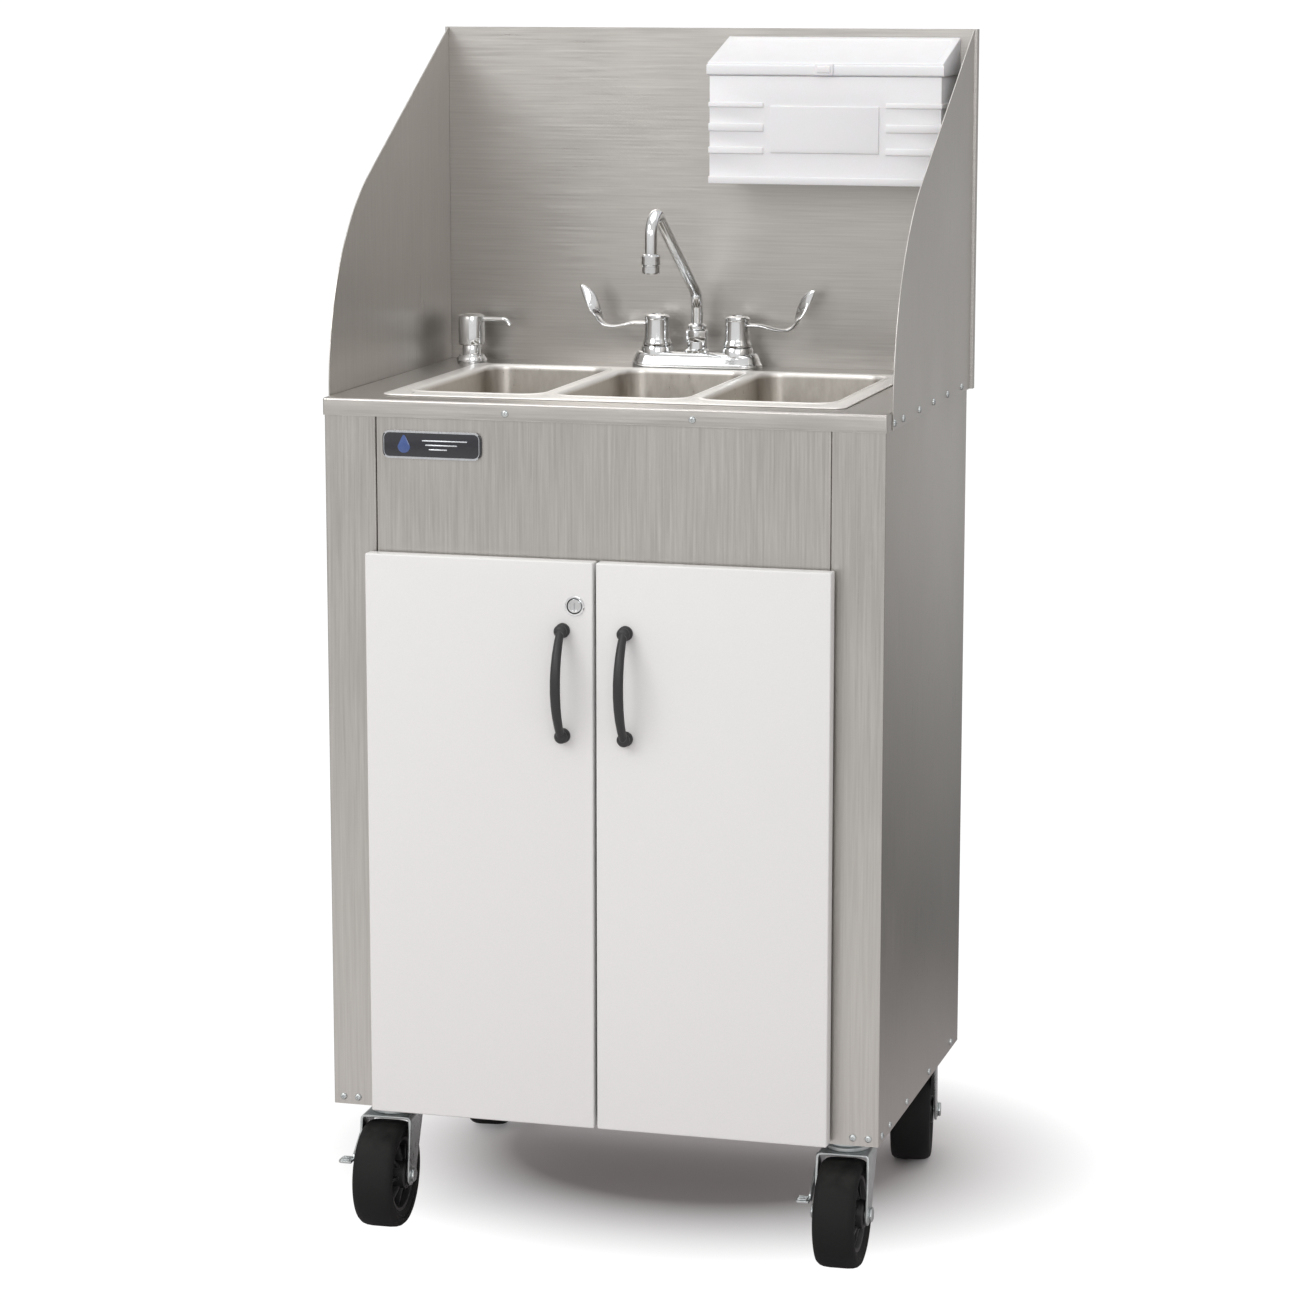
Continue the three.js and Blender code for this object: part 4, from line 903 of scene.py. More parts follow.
# ---------- soap pump ----------
def make_soap_pump():
    low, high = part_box("soap_base")
    x, y = (low.x + high.x) / 2, (low.y + high.y) / 2
    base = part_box("counter_top")[1].z + 0.0003
    centre = (x, y, 0)
    sleeve = turn("sleeve", centre, [(0.0083, base - 0.014), (0.012, base - 0.014), (0.012, base),
                                     (0.019, base), (0.0192, base + 0.002), (0.0184, base + 0.0055),
                                     (0.0164, base + 0.0072), (0.0162, base + 0.0092),
                                     (0.0118, base + 0.0094), (0.0116, high.z - 0.002), (0.0106, high.z),
                                     (0.0083, high.z), (0.0083, base - 0.014)], sides=40, bore=True,
                  crease=30)
    finish_piece(sleeve, "cabinet", "chrome_fittings", CHROME, "soap_base")
    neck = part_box("counter_top")[1].z - 0.0192
    bottle = turn("bottle", centre, [(0.024, low.z), (0.0285, low.z + 0.0015), (0.03, low.z + 0.005),
                                     (0.03, neck - 0.014), (0.0285, neck - 0.008), (0.022, neck - 0.003),
                                     (0.0145, neck), (0.0145, neck + 0.012), (0.012, neck + 0.0125),
                                     (0.012, base - 0.0145)], sides=40, crease=30)
    nut = hex_nut("bottle_nut", centre, 0.017, base - 0.01, base - 0.004)
    finish_piece(join("soap_bottle", [bottle, nut]), "cabinet", "tank_natural", TANK_NATURAL)
    skirt = base + 0.0092 + 0.0123
    roof = high.z + 0.0135
    low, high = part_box("soap_pump_head")
    head = turn("pump_head", centre, [(0.0125, roof), (0.0125, skirt), (0.0158, skirt),
                                      (0.0166, skirt + 0.0012), (0.0166, high.z - 0.0065),
                                      (0.0158, high.z - 0.0030), (0.0125, high.z - 0.0009),
                                      (0.004, high.z)], sides=40)
    stem = rod("stem", (x, y, base + 0.0125), (x, y, roof + 0.001), 0.0072, 24)
    smooth(stem, 30)
    smooth(head, 30)
    nozzle_z = high.z - 0.0065
    nozzle = pipe("nozzle", (x + 0.012, y, nozzle_z), (1, 0, 0), (0, 1, 0), 0.0031,
                  [0.028, (62, 0.009), 0.003], 16)
    smooth(nozzle, 40)
    finish_piece(join("soap_pump_cap", [head, nozzle, stem]), "soap_head", "chrome_fittings", CHROME,
                 "soap_pump_head")


# ---------- towel dispenser ----------
def make_towel_box():
    """The towel box: a hollow moulding with ribs on its front and sides, a raised panel and a slot below."""
    low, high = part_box("towel_case")
    face = low + Vector((0.0022, 0.0022, 0))
    box = block("towel_box", face, (high.x - 0.0022, high.y, high.z))
    width = high.x - low.x
    panel = (low.x + width * 0.27, low.x + width * 0.73)
    ribs = [(low.z, low.z + 0.0085), (low.z + 0.036, low.z + 0.0435), (low.z + 0.0625, low.z + 0.0715),
            (low.z + 0.091, low.z + 0.0965)]
    edit(box)
    for x in (panel[0], panel[1], panel[0] - 0.009, panel[1] + 0.009):
        slice_at("X", x)
    for z in sorted({z for pair in ribs for z in pair} | {low.z + 0.0375, low.z + 0.0925}):
        slice_at("Z", z)
    in_rib = lambda z: any(a < z < b for a, b in ribs)
    def ribbed(part):
        spot = middle(part)
        if part.normal.z or part.normal.y > 0.5:
            return False
        bottom_rim = spot.z < low.z + 0.0085
        beside = spot.x < panel[0] - 0.009 or spot.x > panel[1] + 0.009
        return bottom_rim or (in_rib(spot.z) and beside)
    pick("FACE", ribbed)
    bpy.ops.mesh.extrude_region_shrink_fatten(TRANSFORM_OT_shrink_fatten={"value": 0.0018})
    on_panel = lambda spot: panel[0] < spot.x < panel[1] and low.z + 0.0375 < spot.z < low.z + 0.0925
    raised = lambda part: part.normal.y < -0.9 and on_panel(middle(part))
    pick("FACE", raised)
    bpy.ops.mesh.extrude_region_shrink_fatten(TRANSFORM_OT_shrink_fatten={"value": 0.0018})
    pick("FACE", lambda part: part.normal.z > 0.9 and middle(part).z > high.z - 0.0001)
    inset(0.0025)
    push(0, 0, low.z + 0.0025 - high.z)
    done()
    middle_y = (low.y + high.y) / 2
    slot = block("slot", (low.x + 0.038, middle_y - 0.013, low.z - 0.01), (high.x - 0.038, middle_y + 0.013,
                                                                           low.z + 0.01))
    round_corners(slot, "z", 0.0125, 6)
    cut_out(box, slot)
    soften(box, 0.0008, 2, 40)
    finish_piece(box, "cabinet", "towel_plastic", TOWEL_WHITE, "towel_case")


def make_towel_lid():
    """The lid: a shallow hollow wedge with a rolled front band and a finger latch."""
    low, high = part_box("towel_lid")
    band = low.z + 0.015
    lid = block("towel_lid_shell", low, high)
    edit(lid)
    pick("EDGE", lambda edge: middle(edge).y < low.y + CLOSE and middle(edge).z > high.z - CLOSE)
    bpy.ops.transform.translate(value=(0, 0, band - high.z))
    pick("FACE", lambda part: part.normal.z < -0.9)
    inset(0.0025)
    push(0, 0, 0.01)
    pick("FACE", lambda part: part.normal.z > 0.5 and middle(part).z > low.z + 0.02)
    inset(0.009)
    inset(0.0015, depth=-0.0009)
    done()
    soften(lid, 0.0016, 3, 30)
    lip = block("lid_band", (low.x - 0.0008, low.y - 0.0014, low.z + 0.0004), (high.x + 0.0008, low.y + 0.004,
                                                                               band - 0.002))
    round_corners(lip, "x", 0.002, 3, lambda edge: middle(edge).y < low.y, least=0.1)
    smooth(lip)
    centre = (low.x + high.x) / 2
    latch = block("lid_latch", (centre - 0.011, low.y - 0.0036, low.z + 0.001),
                  (centre + 0.011, low.y + 0.002, band - 0.0005))
    edit(latch)
    pick("FACE", lambda part: part.normal.y < -0.9)
    inset(0.003)
    push(0, -0.0016, 0)
    done()
    soften(latch, 0.0008, 2, 30)
    finish_piece(join("towel_lid_cover", [lid, lip, latch]), "towel_lid", "towel_plastic", TOWEL_WHITE,
                 "towel_lid")


def make_towels():
    """The stack of folded paper towels in the box."""
    low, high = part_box("towel_case")
    middle_y = (low.y + high.y) / 2
    sheets = []
    for step in range(14):
        z = low.z + 0.006 + step * 0.0066
        slip = 0.0012 * math.sin(step * 2.4)
        leaf = block("leaf", (low.x + 0.02 + slip, middle_y - 0.036 - slip, z),
                     (high.x - 0.02 + slip, middle_y + 0.036 - slip, z + 0.006))
        round_corners(leaf, "x", 0.0028, 3, lambda edge: abs(middle(edge).y - middle_y) > 0.03, least=0.1)
        sheets.append(leaf)
    stack = join("towel_stack", sheets)
    smooth(stack)
    finish_piece(stack, "cabinet", "towel_plastic", PAPER)


# ---------- doors ----------
LOCK_INSET = 0.0085


def make_doors():
    """Each door: a laminated slab with eased edges and its hinge cups and keyhole bored."""
    for side, sign in (("left", -1), ("right", 1)):
        low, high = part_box(f"door_{side}")
        slab = block(f"door_slab_{side}", low, high)
        tools = []
        for height in ("lower", "upper"):
            cup_low, cup_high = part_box(f"hinge_cup_{side}_{height}")
            x, z = (cup_low.x + cup_high.x) / 2, (cup_low.z + cup_high.z) / 2
            tools.append(rod("pocket", (x, high.y - 0.0118, z), (x, high.y + 0.01, z), 0.0178, 40))
        if sign < 0:
            lock_low, lock_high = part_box("lock_barrel")
            x, z = lock_high.x - LOCK_INSET, (lock_low.z + lock_high.z) / 2
            tools.append(rod("keyhole", (x, low.y - 0.01, z), (x, high.y + 0.01, z), 0.0093, 32))
        soften(slab, 0.0019, 4, 40)
        cut_out(slab, *tools)
        smooth(slab, 35)
        finish_piece(slab, f"{side}_door", "door_laminate", LAMINATE, f"door_{side}")


def make_pull(side):
    """A bow pull: two turned feet with collars and a round bar bowed between them, thicker at the middle."""
    low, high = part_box(f"door_pull_{side}")
    x = (low.x + high.x) / 2
    face = high.y
    bottom, top = low.z + 0.0085, high.z - 0.0085
    half = (top - bottom) / 2
    feet = []
    for z in (bottom, top):
        foot = turn("foot", (x, face, z), [(0.0086, 0), (0.0086, -0.0014), (0.0072, -0.0032),
                                           (0.0058, -0.0046), (0.0056, -0.0062), (0.0072, -0.0078),
                                           (0.0078, -0.0102), (0.0066, -0.0126), (0.0034, -0.014)],
                    axis="Y", sides=32, crease=40)
        feet.append(foot)
    depth = face - low.y - 0.0135
    radius = (half * half + depth * depth) / (2 * depth)
    sweep_half = math.degrees(math.asin(half / radius))
    start = Vector((x, face - 0.0095, top))
    lean = math.radians(sweep_half)
    way = Vector((0, -math.sin(lean), -math.cos(lean)))
    bar = pipe("bow", start, way, (1, 0, 0), 0.0046, [(2 * sweep_half, radius)], 20)
    edit(bar)
    centre_z = (top + bottom) / 2
    for corner in bmesh.from_edit_mesh(bar.data).verts:
        share = 1 - min(1, abs(corner.co.z - centre_z) / half)
        corner.co.x = x + (corner.co.x - x) * (1 + 0.3 * math.sin(share * math.pi / 2))
    bmesh.update_edit_mesh(bar.data)
    done()
    smooth(bar, 50)
    pull = join(f"bow_pull_{side}", [bar, *feet])
    finish_piece(pull, f"{side}_door", "pull_black", BLACK_COAT, f"door_pull_{side}")


def make_lock():
    """The cam lock's ring on the door, and its turning plug with a key slot and the cam behind."""
    low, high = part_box("lock_barrel")
    x, z = high.x - LOCK_INSET, (low.z + high.z) / 2
    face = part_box("door_left")[0].y
    ring = turn("lock_ring", (x, face, z), [(0.0091, 0.004), (0.0116, 0.0), (0.0116, -0.0008),
                                            (0.0108, -0.0018), (0.0096, -0.0021), (0.0091, -0.0017),
                                            (0.0091, 0.004)], axis="Y", sides=40, bore=True, crease=30)
    finish_piece(ring, "left_door", "chrome_fittings", CHROME)
    plug = turn("plug", (x, 0, z), [(0.0082, high.y - 0.0032), (0.0082, low.y + 0.0008), (0.0076, low.y),
                                    (0.0058, low.y - 0.0001), (0.0054, low.y + 0.0006),
                                    (0.002, low.y + 0.0006)], axis="Y", sides=40)
    slot = block("slot", (x - 0.0008, low.y - 0.01, z - 0.0036), (x + 0.0008, low.y + 0.006, z + 0.0036))
    cut_out(plug, slot)
    smooth(plug, 30)
    cam = block("cam", (low.x, high.y - 0.003, low.z + 0.0015), (x, high.y, high.z - 0.0015))
    round_corners(cam, "y", 0.0055, 6, lambda edge: middle(edge).x < low.x + 0.001)
    soften(cam, 0.0005)
    nut = hex_nut("cam_nut", (0, 0, 0), 0.0075, 0, 0.003)
    place(nut, (x, high.y + 0.0032, z), (math.pi / 2, 0, 0))
    finish_piece(join("lock_plug", [plug, cam, nut]), "lock", "chrome_fittings", CHROME, "lock_barrel")


def make_hinges():
    """Concealed hinges: a pressed cup with a screwed flange, and a channel arm on a mounting plate."""
    for side, sign in (("left", -1), ("right", 1)):
        for height in ("lower", "upper"):
            low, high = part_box(f"hinge_cup_{side}_{height}")
            x, z = (low.x + high.x) / 2, (low.z + high.z) / 2
            cup = turn("cup", (x, 0, z), [(0.0165, low.y), (0.0175, low.y + 0.001),
                                          (0.0175, high.y - 0.001), (0.0185, high.y), (0.0152, high.y),
                                          (0.0145, high.y - 0.001), (0.0145, low.y + 0.002),
                                          (0.006, low.y + 0.0016)], axis="Y", sides=40)
            wing = block("wing", (low.x + 0.0025, high.y - 0.001, low.z), (high.x - 0.0025, high.y, high.z))
            round_corners(wing, "y", 0.007, 5, least=0.0005)
            cut_out(wing, rod("bore", (x, low.y, z), (x, high.y + 0.01, z), 0.0164, 40))
            heads = [place(copy_of(SCREW, "head"), (x, high.y, z + lift), (0, 0, math.pi))
                     for lift in (-0.0215, 0.0215)]
            smooth(cup, 35)
            finish_piece(join(f"hinge_cup_pressed_{side}_{height}", [cup, wing, *heads]), f"{side}_door",
                         "zinc_plated", ZINC, f"hinge_cup_{side}_{height}")
            low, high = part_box(f"hinge_arm_{side}_{height}")
            wall = high.x if sign > 0 else low.x
            inner = low.x if sign > 0 else high.x
            plate_x = wall - sign * 0.002
            plate = block("plate", (min(wall, plate_x), high.y - 0.034, low.z),
                          (max(wall, plate_x), high.y, high.z))
            soften(plate, 0.0006)
            arm = block("arm", (min(inner, plate_x), low.y, (low.z + high.z) / 2 - 0.009),
                        (max(inner, plate_x), high.y - 0.004, (low.z + high.z) / 2 + 0.009))
            edit(arm)
            pick("FACE", lambda part: part.normal.y < -0.9)
            inset(0.0015)
            push(0, 0.012, 0)
            pick("FACE", lambda part: part.normal.x * sign < -0.9)
            inset(0.004)
            push(sign * 0.0015, 0, 0)
            done()
            soften(arm, 0.0007, 2, 30)
            turns = -math.pi / 2 if sign > 0 else math.pi / 2
            spots = [(plate_x, high.y - 0.01, z + lift) for lift in (-0.018, 0.018)]
            heads = [place(copy_of(SCREW, "head"), spot, (0, 0, turns)) for spot in spots]
            finish_piece(join(f"hinge_arm_channel_{side}_{height}", [plate, arm, *heads]), "cabinet",
                         "zinc_plated", ZINC, f"hinge_arm_{side}_{height}")


def make_badge():
    """A blank black plate with a silver border and a water drop, and no lettering."""
    low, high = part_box("name_badge")
    plate = block("badge_plate", low, high)
    round_corners(plate, "y", 0.0085, 6)
    border = copy_of(plate, "badge_border")
    edit(border)
    pick("FACE", lambda part: part.normal.y < -0.9)
    inset(0.0016)
    inset(0.0007)
    keep = lambda part: part.normal.y < -0.9 and (
        low.x + 0.0015 < min(v.co.x for v in part.verts) and max(v.co.x for v in part.verts) < high.x - 0.0015
        and len(part.verts) == 4)
    pick("FACE", lambda part: not keep(part))
    bpy.ops.mesh.delete(type="FACE")
    bpy.ops.mesh.select_all(action="SELECT")
    push(0, -0.0005, 0)
    tidy_faces()
    done()
    soften(plate, 0.0006, 2, 40)
    finish_piece(plate, "cabinet", "badge_black", BADGE, "name_badge")
    finish_piece(border, "cabinet", "badge_black", BADGE_TRIM)
    x, z = low.x + 0.026, (low.z + high.z) / 2 - 0.002
    drop = turn("badge_drop", (x, low.y, z), [(0.0075, 0.0002), (0.0075, -0.0005), (0.0062, -0.0011)],
                axis="Y", sides=32)
    edit(drop)
    for corner in bmesh.from_edit_mesh(drop.data).verts:
        rise = corner.co.z - z
        if rise > 0:
            share = rise / 0.0075
            corner.co.z = z + rise * (1 + 0.75 * share * share)
            corner.co.x = x + (corner.co.x - x) * (1 - 0.35 * share)
    bmesh.update_edit_mesh(drop.data)
    done()
    smooth(drop, 30)
    finish_piece(drop, "cabinet", "badge_black", BADGE_BLUE)
    waves = []
    for step in range(3):
        wave = rod("wave", (x + 0.022 + step * 0.004, low.y - 0.0002, z + 0.007 - step * 0.005),
                   (high.x - 0.016 - step * 0.012, low.y - 0.0002, z + 0.007 - step * 0.005), 0.0009, 12)
        soften(wave, 0.0003)
        waves.append(wave)
    finish_piece(join("badge_lines", waves), "cabinet", "badge_black", BADGE_TRIM)


# ---------- casters ----------
AXLE_Z = 0.0635
TRAIL = 0.032
LEG_OUTER = 0.0312
BRIDGE_TOP = 0.1336
CASTER_TURNS = {"front_left": 182, "front_right": 182, "rear_left": 8, "rear_right": 9}


def make_caster_plate():
    """The top plate with rounded corners, its four bolts and the upper raceway."""
    plate = block("caster_plate", (-0.0475, -0.033, 0.1527), (0.0475, 0.033, 0.1557))
    round_corners(plate, "z", 0.007, 5)
    soften(plate, 0.0004)
    parts = [plate]
    race = turn("race", (0, 0, 0), [(0.0235, 0.1497), (0.0245, 0.1502), (0.026, 0.1515), (0.026, 0.1528)],
                sides=40, crease=30)
    parts.append(race)
    for x in (-0.0375, 0.0375):
        for y in (-0.0235, 0.0235):
            washer = turn("washer", (x, y, 0), [(0.0078, 0.1514), (0.0078, 0.1528)], sides=24)
            soften(washer, 0.0003)
            parts += [washer, hex_nut("bolt_head", (x, y, 0), 0.0062, 0.1474, 0.1515)]
    return join("caster_plate", parts)


def make_fork():
    """The pressed fork: a sheet folded down both sides of the wheel, with its ball race and its axle."""
    fork = block("fork", (-LEG_OUTER, -0.021, AXLE_Z - 0.013), (LEG_OUTER, 0.033, BRIDGE_TOP))
    edit(fork)
    pick("FACE", lambda part: part.normal.z < -0.9 or abs(part.normal.y) > 0.9)
    bpy.ops.mesh.delete(type="FACE")
    pick("VERT", lambda corner: corner.co.z < AXLE_Z and corner.co.y < 0)
    bpy.ops.transform.translate(value=(0, TRAIL - 0.013 + 0.021, 0))
    pick("VERT", lambda corner: corner.co.z < AXLE_Z and corner.co.y > 0.025)
    bpy.ops.transform.translate(value=(0, TRAIL + 0.013 - 0.033, 0))
    pick("VERT", lambda corner: corner.co.z < AXLE_Z)
    bpy.ops.mesh.bevel(offset=0.0125, segments=8, affect="VERTICES")
    corner_top = lambda corner: corner.co.z > BRIDGE_TOP - CLOSE and abs(corner.co.x) > LEG_OUTER - CLOSE
    bevel_edges(lambda edge: all(corner_top(corner) for corner in edge.verts), 0.0055, 5)
    bpy.ops.mesh.select_all(action="SELECT")
    bpy.ops.mesh.normals_make_consistent(inside=False)
    form = bmesh.from_edit_mesh(fork.data)
    top_face = max(form.faces, key=lambda part: middle(part).z)
    if top_face.normal.z < 0:
        bpy.ops.mesh.flip_normals()
    done()
    modify(fork, "SOLIDIFY", thickness=0.003, offset=-1)
    soften(fork, 0.0006, 2, 50)
    crown = turn("crown", (0, 0, 0), [(0.0235, BRIDGE_TOP - 0.001), (0.026, BRIDGE_TOP + 0.001),
                                      (0.026, BRIDGE_TOP + 0.0045), (0.0225, BRIDGE_TOP + 0.0062),
                                      (0.0222, BRIDGE_TOP + 0.0085), (0.0255, BRIDGE_TOP + 0.0102),
                                      (0.0258, BRIDGE_TOP + 0.0138), (0.0242, 0.1494)], sides=48, crease=30)
    rivet = turn("rivet", (0, 0, 0), [(0.006, 0.1268), (0.0095, 0.1276), (0.011, 0.1296), (0.011, 0.1312)],
                 sides=32, crease=30)
    parts = [fork, crown, rivet, rod("axle", (-0.0358, TRAIL, AXLE_Z), (0.0358, TRAIL, AXLE_Z), 0.005, 24)]
    for sign in (-1, 1):
        washer = turn("washer", (0, TRAIL, AXLE_Z), [(0.0096, sign * LEG_OUTER), (0.0096, sign * 0.0322)],
                      axis="X", sides=28)
        soften(washer, 0.0003)
        nut = hex_nut("axle_nut", (0, 0, 0), 0.009, 0, 0.0039)
        place(nut, (sign * 0.0322, TRAIL, AXLE_Z), (0, sign * math.pi / 2, 0))
        parts += [washer, nut]
    return join("caster_fork", parts)


def make_tyre():
    """The tyre: a wide ring with rounded shoulders and a shallow bead line on each side."""
    half = [(0.044, -0.0200), (0.0475, -0.0222), (0.0505, -0.0232), (0.0510, -0.0226), (0.0520, -0.0227),
            (0.0525, -0.0238), (0.0555, -0.0248), (0.0590, -0.0238), (0.0616, -0.0208), (0.0629, -0.0168),
            (0.0635, -0.0105)]
    profile = half + [(radius, -height) for radius, height in reversed(half)] + [half[0]]
    tyre = turn("tyre", (0, TRAIL, AXLE_Z), profile, axis="X", sides=96, bore=True, crease=40)
    return tyre


def make_core():
    """The moulded core: a rim, a web with eight ribs, and a hub."""
    half = [(0.0054, -0.0268), (0.0155, -0.0268), (0.017, -0.0252), (0.0184, -0.008), (0.0370, -0.0062),
            (0.0392, -0.0172), (0.0405, -0.0198), (0.0441, -0.0202)]
    profile = half + [(radius, -height) for radius, height in reversed(half)] + [half[0]]
    core = turn("core", (0, TRAIL, AXLE_Z), profile, axis="X", sides=64, bore=True, crease=35)
    parts = [core]
    rib = block("rib", (-0.0150, TRAIL - 0.0016, AXLE_Z + 0.0165), (0.0150, TRAIL + 0.0016, AXLE_Z + 0.0398))
    edit(rib)
    pick("VERT", lambda corner: corner.co.z < AXLE_Z + 0.02)
    resize(1.35, 1.5, 1, (0, TRAIL, AXLE_Z))
    done()
    soften(rib, 0.0007)
    for step in range(8):
        one = copy_of(rib, "rib_copy")
        edit(one)
        bpy.ops.mesh.select_all(action="SELECT")
        bpy.ops.transform.rotate(value=math.pi * step / 4, orient_axis="X",
                                 center_override=(0, TRAIL, AXLE_Z))
        done()
        parts.append(one)
    bpy.data.objects.remove(rib)
    return join("wheel_core", parts)


def make_pedal():
    """The brake pedal: a flat lever from its pivot boss forward to a ribbed foot tab."""
    pivot, tip = Vector((0, 0.118)), Vector((0.052, 0.082))
    way = (tip - pivot).normalized()
    across = Vector((-way.y, way.x)) * 0.006
    inner, outer = LEG_OUTER + 0.0013, LEG_OUTER + 0.0043
    strip = block("pedal_strip", (inner, -0.006, tip.y), (outer, 0.006, pivot.y))
    edit(strip)
    form = bmesh.from_edit_mesh(strip.data)
    for corner in form.verts:
        end = pivot if corner.co.z > 0.1 else tip
        side = 1 if corner.co.y > 0 else -1
        corner.co.y, corner.co.z = end + across * side
    bmesh.update_edit_mesh(strip.data)
    bevel_edges(lambda edge: spans(edge, "x", 0.002), 0.0055, 5)
    done()
    soften(strip, 0.0007)
    tab = block("pedal_tab", (inner + 0.0005, tip.x - 0.006, tip.y),
                (outer + 0.014, tip.x + 0.014, tip.y + 0.003))
    round_corners(tab, "z", 0.005, 5, lambda edge: middle(edge).x > outer)
    soften(tab, 0.0008)
    parts = [strip, tab]
    for step in range(3):
        y = tip.x - 0.0028 + step * 0.0055
        ridge = block("ridge", (outer + 0.001, y, tip.y + 0.002), (outer + 0.0115, y + 0.002, tip.y + 0.0045))
        soften(ridge, 0.0005)
        parts.append(ridge)
    boss = turn("pedal_boss", (0, pivot.x, pivot.y), [(0.0058, LEG_OUTER), (0.0058, outer + 0.0004),
                                                      (0.0045, outer + 0.0014), (0.0015, outer + 0.0016)],
                axis="X", sides=24, crease=30)
    return join("brake_pedal", parts + [boss])


def make_casters():
    """One caster modelled about its swivel axis, and a copy of each part at the four corners."""
    plate, fork, tyre, core, pedal = make_caster_plate(), make_fork(), make_tyre(), make_core(), make_pedal()
    for corner, angle in CASTER_TURNS.items():
        low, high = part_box(f"caster_plate_{corner}")
        x, y = (low.x + high.x) / 2, (low.y + high.y) / 2
        swing = (0, 0, math.radians(angle))
        one = place(copy_of(plate, f"plate_{corner}"), (x, y, 0))
        finish_piece(one, "cabinet", "zinc_plated", ZINC, f"caster_plate_{corner}")
        one = place(copy_of(fork, f"fork_piece_{corner}"), (x, y, 0), swing)
        finish_piece(one, f"fork_{corner}", "zinc_plated", ZINC, f"caster_fork_{corner}")
        one = place(copy_of(tyre, f"tyre_{corner}"), (x, y, 0), swing)
        finish_piece(one, f"wheel_{corner}", "wheel_rubber", TYRE, f"caster_wheel_{corner}")
        one = place(copy_of(core, f"wheel_core_{corner}"), (x, y, 0), swing)
        finish_piece(one, f"wheel_{corner}", "wheel_rubber", CORE)
        if corner.startswith("front"):
            one = place(copy_of(pedal, f"pedal_piece_{corner}"), (x, y, 0), swing)
            finish_piece(one, f"pedal_{corner}", "zinc_plated", ZINC, f"brake_pedal_{corner}")
    for model in (plate, fork, tyre, core, pedal):
        bpy.data.objects.remove(model)


# ---------- building ----------
SCREW = make_screw()
make_side_panels()
make_fascia()
make_counter()
make_backsplash()
make_back_louvres()
make_cabinet_screws()
make_sink()
make_drains()
make_faucet()
make_handle("hot", -1)
make_handle("cold", 1)
make_spout()
make_soap_pump()
make_towel_box()
make_towel_lid()
make_towels()
make_doors()
make_pull("left")
make_pull("right")
make_lock()
make_hinges()
make_badge()
make_casters()
bpy.data.objects.remove(SCREW)

dress(STEEL_UPRIGHT, "splash_guard_left", "splash_guard_right")
dress(STEEL_INSIDE, "floor_pan", "back_panel")
dress(TANK_NATURAL, "fresh_water_tank", bevel=0.004, segments=3)
dress(TANK_GREY, "waste_water_tank", bevel=0.004, segments=3)
dress(ENAMEL, "water_heater", bevel=0.001)
dress(BLACK_PLASTIC, "water_pump", "control_box", "pump_switch", bevel=0.0008)
HOSES = [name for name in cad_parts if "hose" in name]
dress(HOSE, *HOSES, bevel=0.0002)
dress(DRAIN_WHITE, "drain_manifold", bevel=0.0006)


# ---------- studio ----------
# Each light: where it hangs, what it points at, its size, its power in watts and its colour.
LIGHTS = {
    "key": ((-2.2, -3.4, 3.4), (0, 0, 0.7), (2.6, 2.6), 78, (1.0, 0.995, 0.985)),
    "overhead": ((0.2, 0.3, 3.6), (0, 0, 0), (3.2, 3.2), 30, (1.0, 0.998, 0.99)),
    "front": ((1.6, -4.6, 2.6), (0, 0, 0.8), (2.4, 1.6), 34, (0.99, 0.995, 1.0)),
}


def area_light(name, place_at, aim, size, power, colour):
    data = bpy.data.lights.new(name, "AREA")
    data.shape = "RECTANGLE"
    data.size, data.size_y = size
    data.energy = power
    data.color = colour
    lamp = bpy.data.objects.new(name, data)
    bpy.context.scene.collection.objects.link(lamp)
    lamp.location = place_at
    lamp.rotation_euler = (Vector(aim) - Vector(place_at)).to_track_quat("-Z", "Y").to_euler()


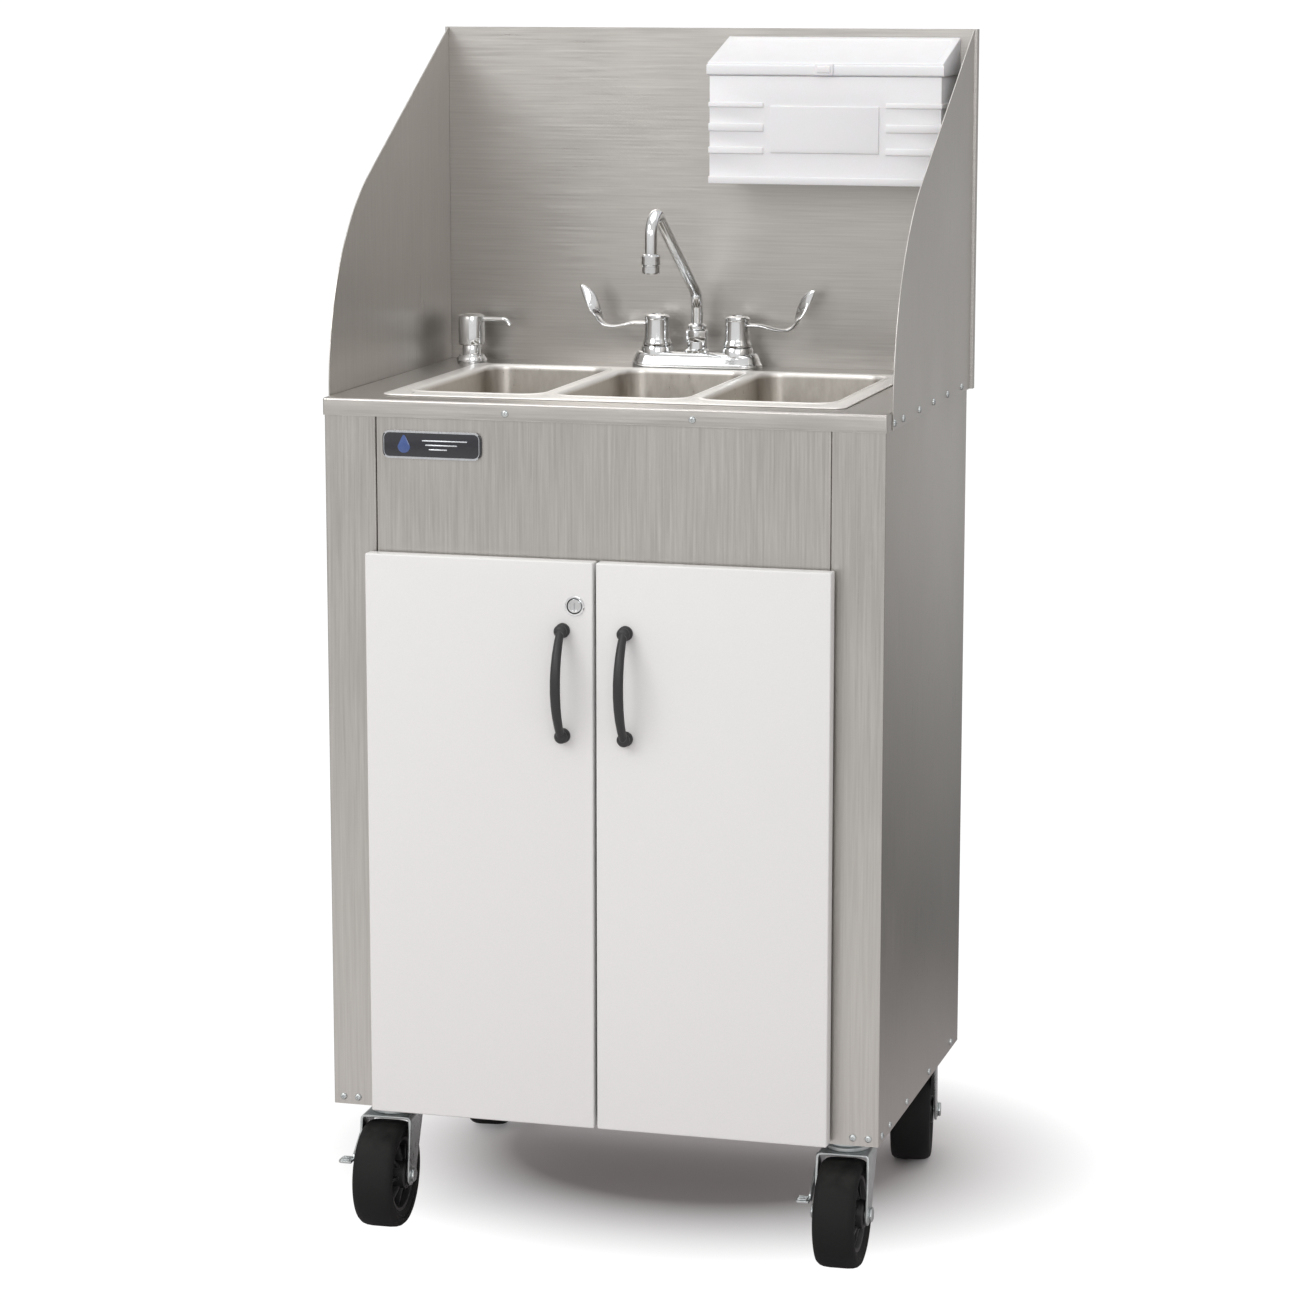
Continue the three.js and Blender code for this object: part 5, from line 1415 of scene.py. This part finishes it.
def make_studio():
    """A white floor and sky to the camera with a painted shadow patch under the cabinet, a floor that glows
    as a painted reflection, a grey room to reflections, and large soft lights.
    """
    bpy.ops.object.select_all(action="DESELECT")
    bpy.ops.mesh.primitive_plane_add(size=40, location=(0, 0, 0))
    floor = name_new("studio_floor")
    paint = bpy.data.materials.new("pale_floor_painted_shadow")
    paint.use_nodes = True
    tree = paint.node_tree
    shader = tree.nodes["Principled BSDF"]
    # Painted shadow: to the camera this darker pinkish floor colour shows only in a patch around the cabinet,
    # and further out the floor glows white.
    shader.inputs["Base Color"].default_value = (0.62, 0.58, 0.59, 1)
    shader.inputs["Roughness"].default_value = 0.75
    shader.inputs["Specular IOR Level"].default_value = 0.2
    place_of = wire(tree, "ShaderNodeTexCoord").outputs["Object"]
    from_shadow = wire(tree, "ShaderNodeVectorMath", {0: place_of, 1: (0.02, 0.2, 0)}, operation="SUBTRACT")
    scaled = wire(tree, "ShaderNodeVectorMath", {0: from_shadow.outputs[0], 1: (2.2, 2.5, 0)},
                  operation="MULTIPLY")
    away = wire(tree, "ShaderNodeVectorMath", {0: scaled.outputs[0]}, operation="LENGTH").outputs["Value"]
    path = wire(tree, "ShaderNodeLightPath")
    painted_shadow_fade = times(tree, spread(tree, away, 0.55, 1.12), path.outputs["Is Camera Ray"])
    glow = wire(tree, "ShaderNodeEmission", {"Color": (1, 1, 1, 1), "Strength": 1.05})
    both = wire(tree, "ShaderNodeMixShader", {0: painted_shadow_fade, 1: shader.outputs[0], 2: glow.outputs[0]})
    # Painted reflection: to glossy rays the floor away from the cabinet glows, brighter towards the front and
    # darker towards the back.
    depth = wire(tree, "ShaderNodeSeparateXYZ", {0: place_of}).outputs["Y"]
    front = spread(tree, depth, -4.5, -1.2, 0.62, 0.95)
    back = times(tree, spread(tree, depth, -0.5, 0.5, 1.0, 0.2), spread(tree, depth, 1.5, 6.0, 0.0, 0.4),
                 "ADD")
    painted_reflection_glow = wire(tree, "ShaderNodeEmission", {"Color": (1.0, 0.985, 0.965, 1),
                                                 "Strength": times(tree, front, back)})
    painted_reflection_mask = times(tree, path.outputs["Is Glossy Ray"], spread(tree, away, 1.0, 3.0))
    both = wire(tree, "ShaderNodeMixShader", {0: painted_reflection_mask, 1: both.outputs[0], 2: painted_reflection_glow.outputs[0]})
    tree.links.new(both.outputs[0], tree.nodes["Material Output"].inputs["Surface"])
    floor.data.materials.append(paint)
    world = bpy.data.worlds.new("studio")
    bpy.context.scene.world = world
    world.use_nodes = True
    tree = world.node_tree
    tree.nodes.clear()
    way = wire(tree, "ShaderNodeSeparateXYZ", {0: wire(tree, "ShaderNodeTexCoord").outputs["Generated"]})
    room = wire(tree, "ShaderNodeBackground", {"Color": (1.0, 0.99, 0.978, 1),
                                               "Strength": spread(tree, way.outputs["Y"], -1.0, 1.0, 0.78,
                                                                  0.46)})
    white = wire(tree, "ShaderNodeBackground", {"Color": (1, 1, 1, 1), "Strength": 1.05})
    seen = wire(tree, "ShaderNodeLightPath").outputs["Is Camera Ray"]
    both = wire(tree, "ShaderNodeMixShader", {0: seen, 1: room.outputs[0], 2: white.outputs[0]})
    wire(tree, "ShaderNodeOutputWorld", {"Surface": both.outputs[0]})
    for name, settings in LIGHTS.items():
        area_light(name, *settings)
    bpy.context.scene.view_settings.view_transform = "Standard"


CAMERA_AT = (1.2141, -4.3751, 1.4862)
CAMERA_DOWN = 0.1768
CAMERA_ROUND = 0.272
LENS = 107.06


def make_camera():
    data = bpy.data.cameras.new("camera")
    data.sensor_width = 36
    data.lens = LENS
    data.clip_end = 200
    camera = bpy.data.objects.new("camera", data)
    bpy.context.scene.collection.objects.link(camera)
    camera.location = CAMERA_AT
    camera.rotation_euler = (math.pi / 2 - CAMERA_DOWN, 0, CAMERA_ROUND)
    bpy.context.scene.camera = camera


make_studio()
make_camera()
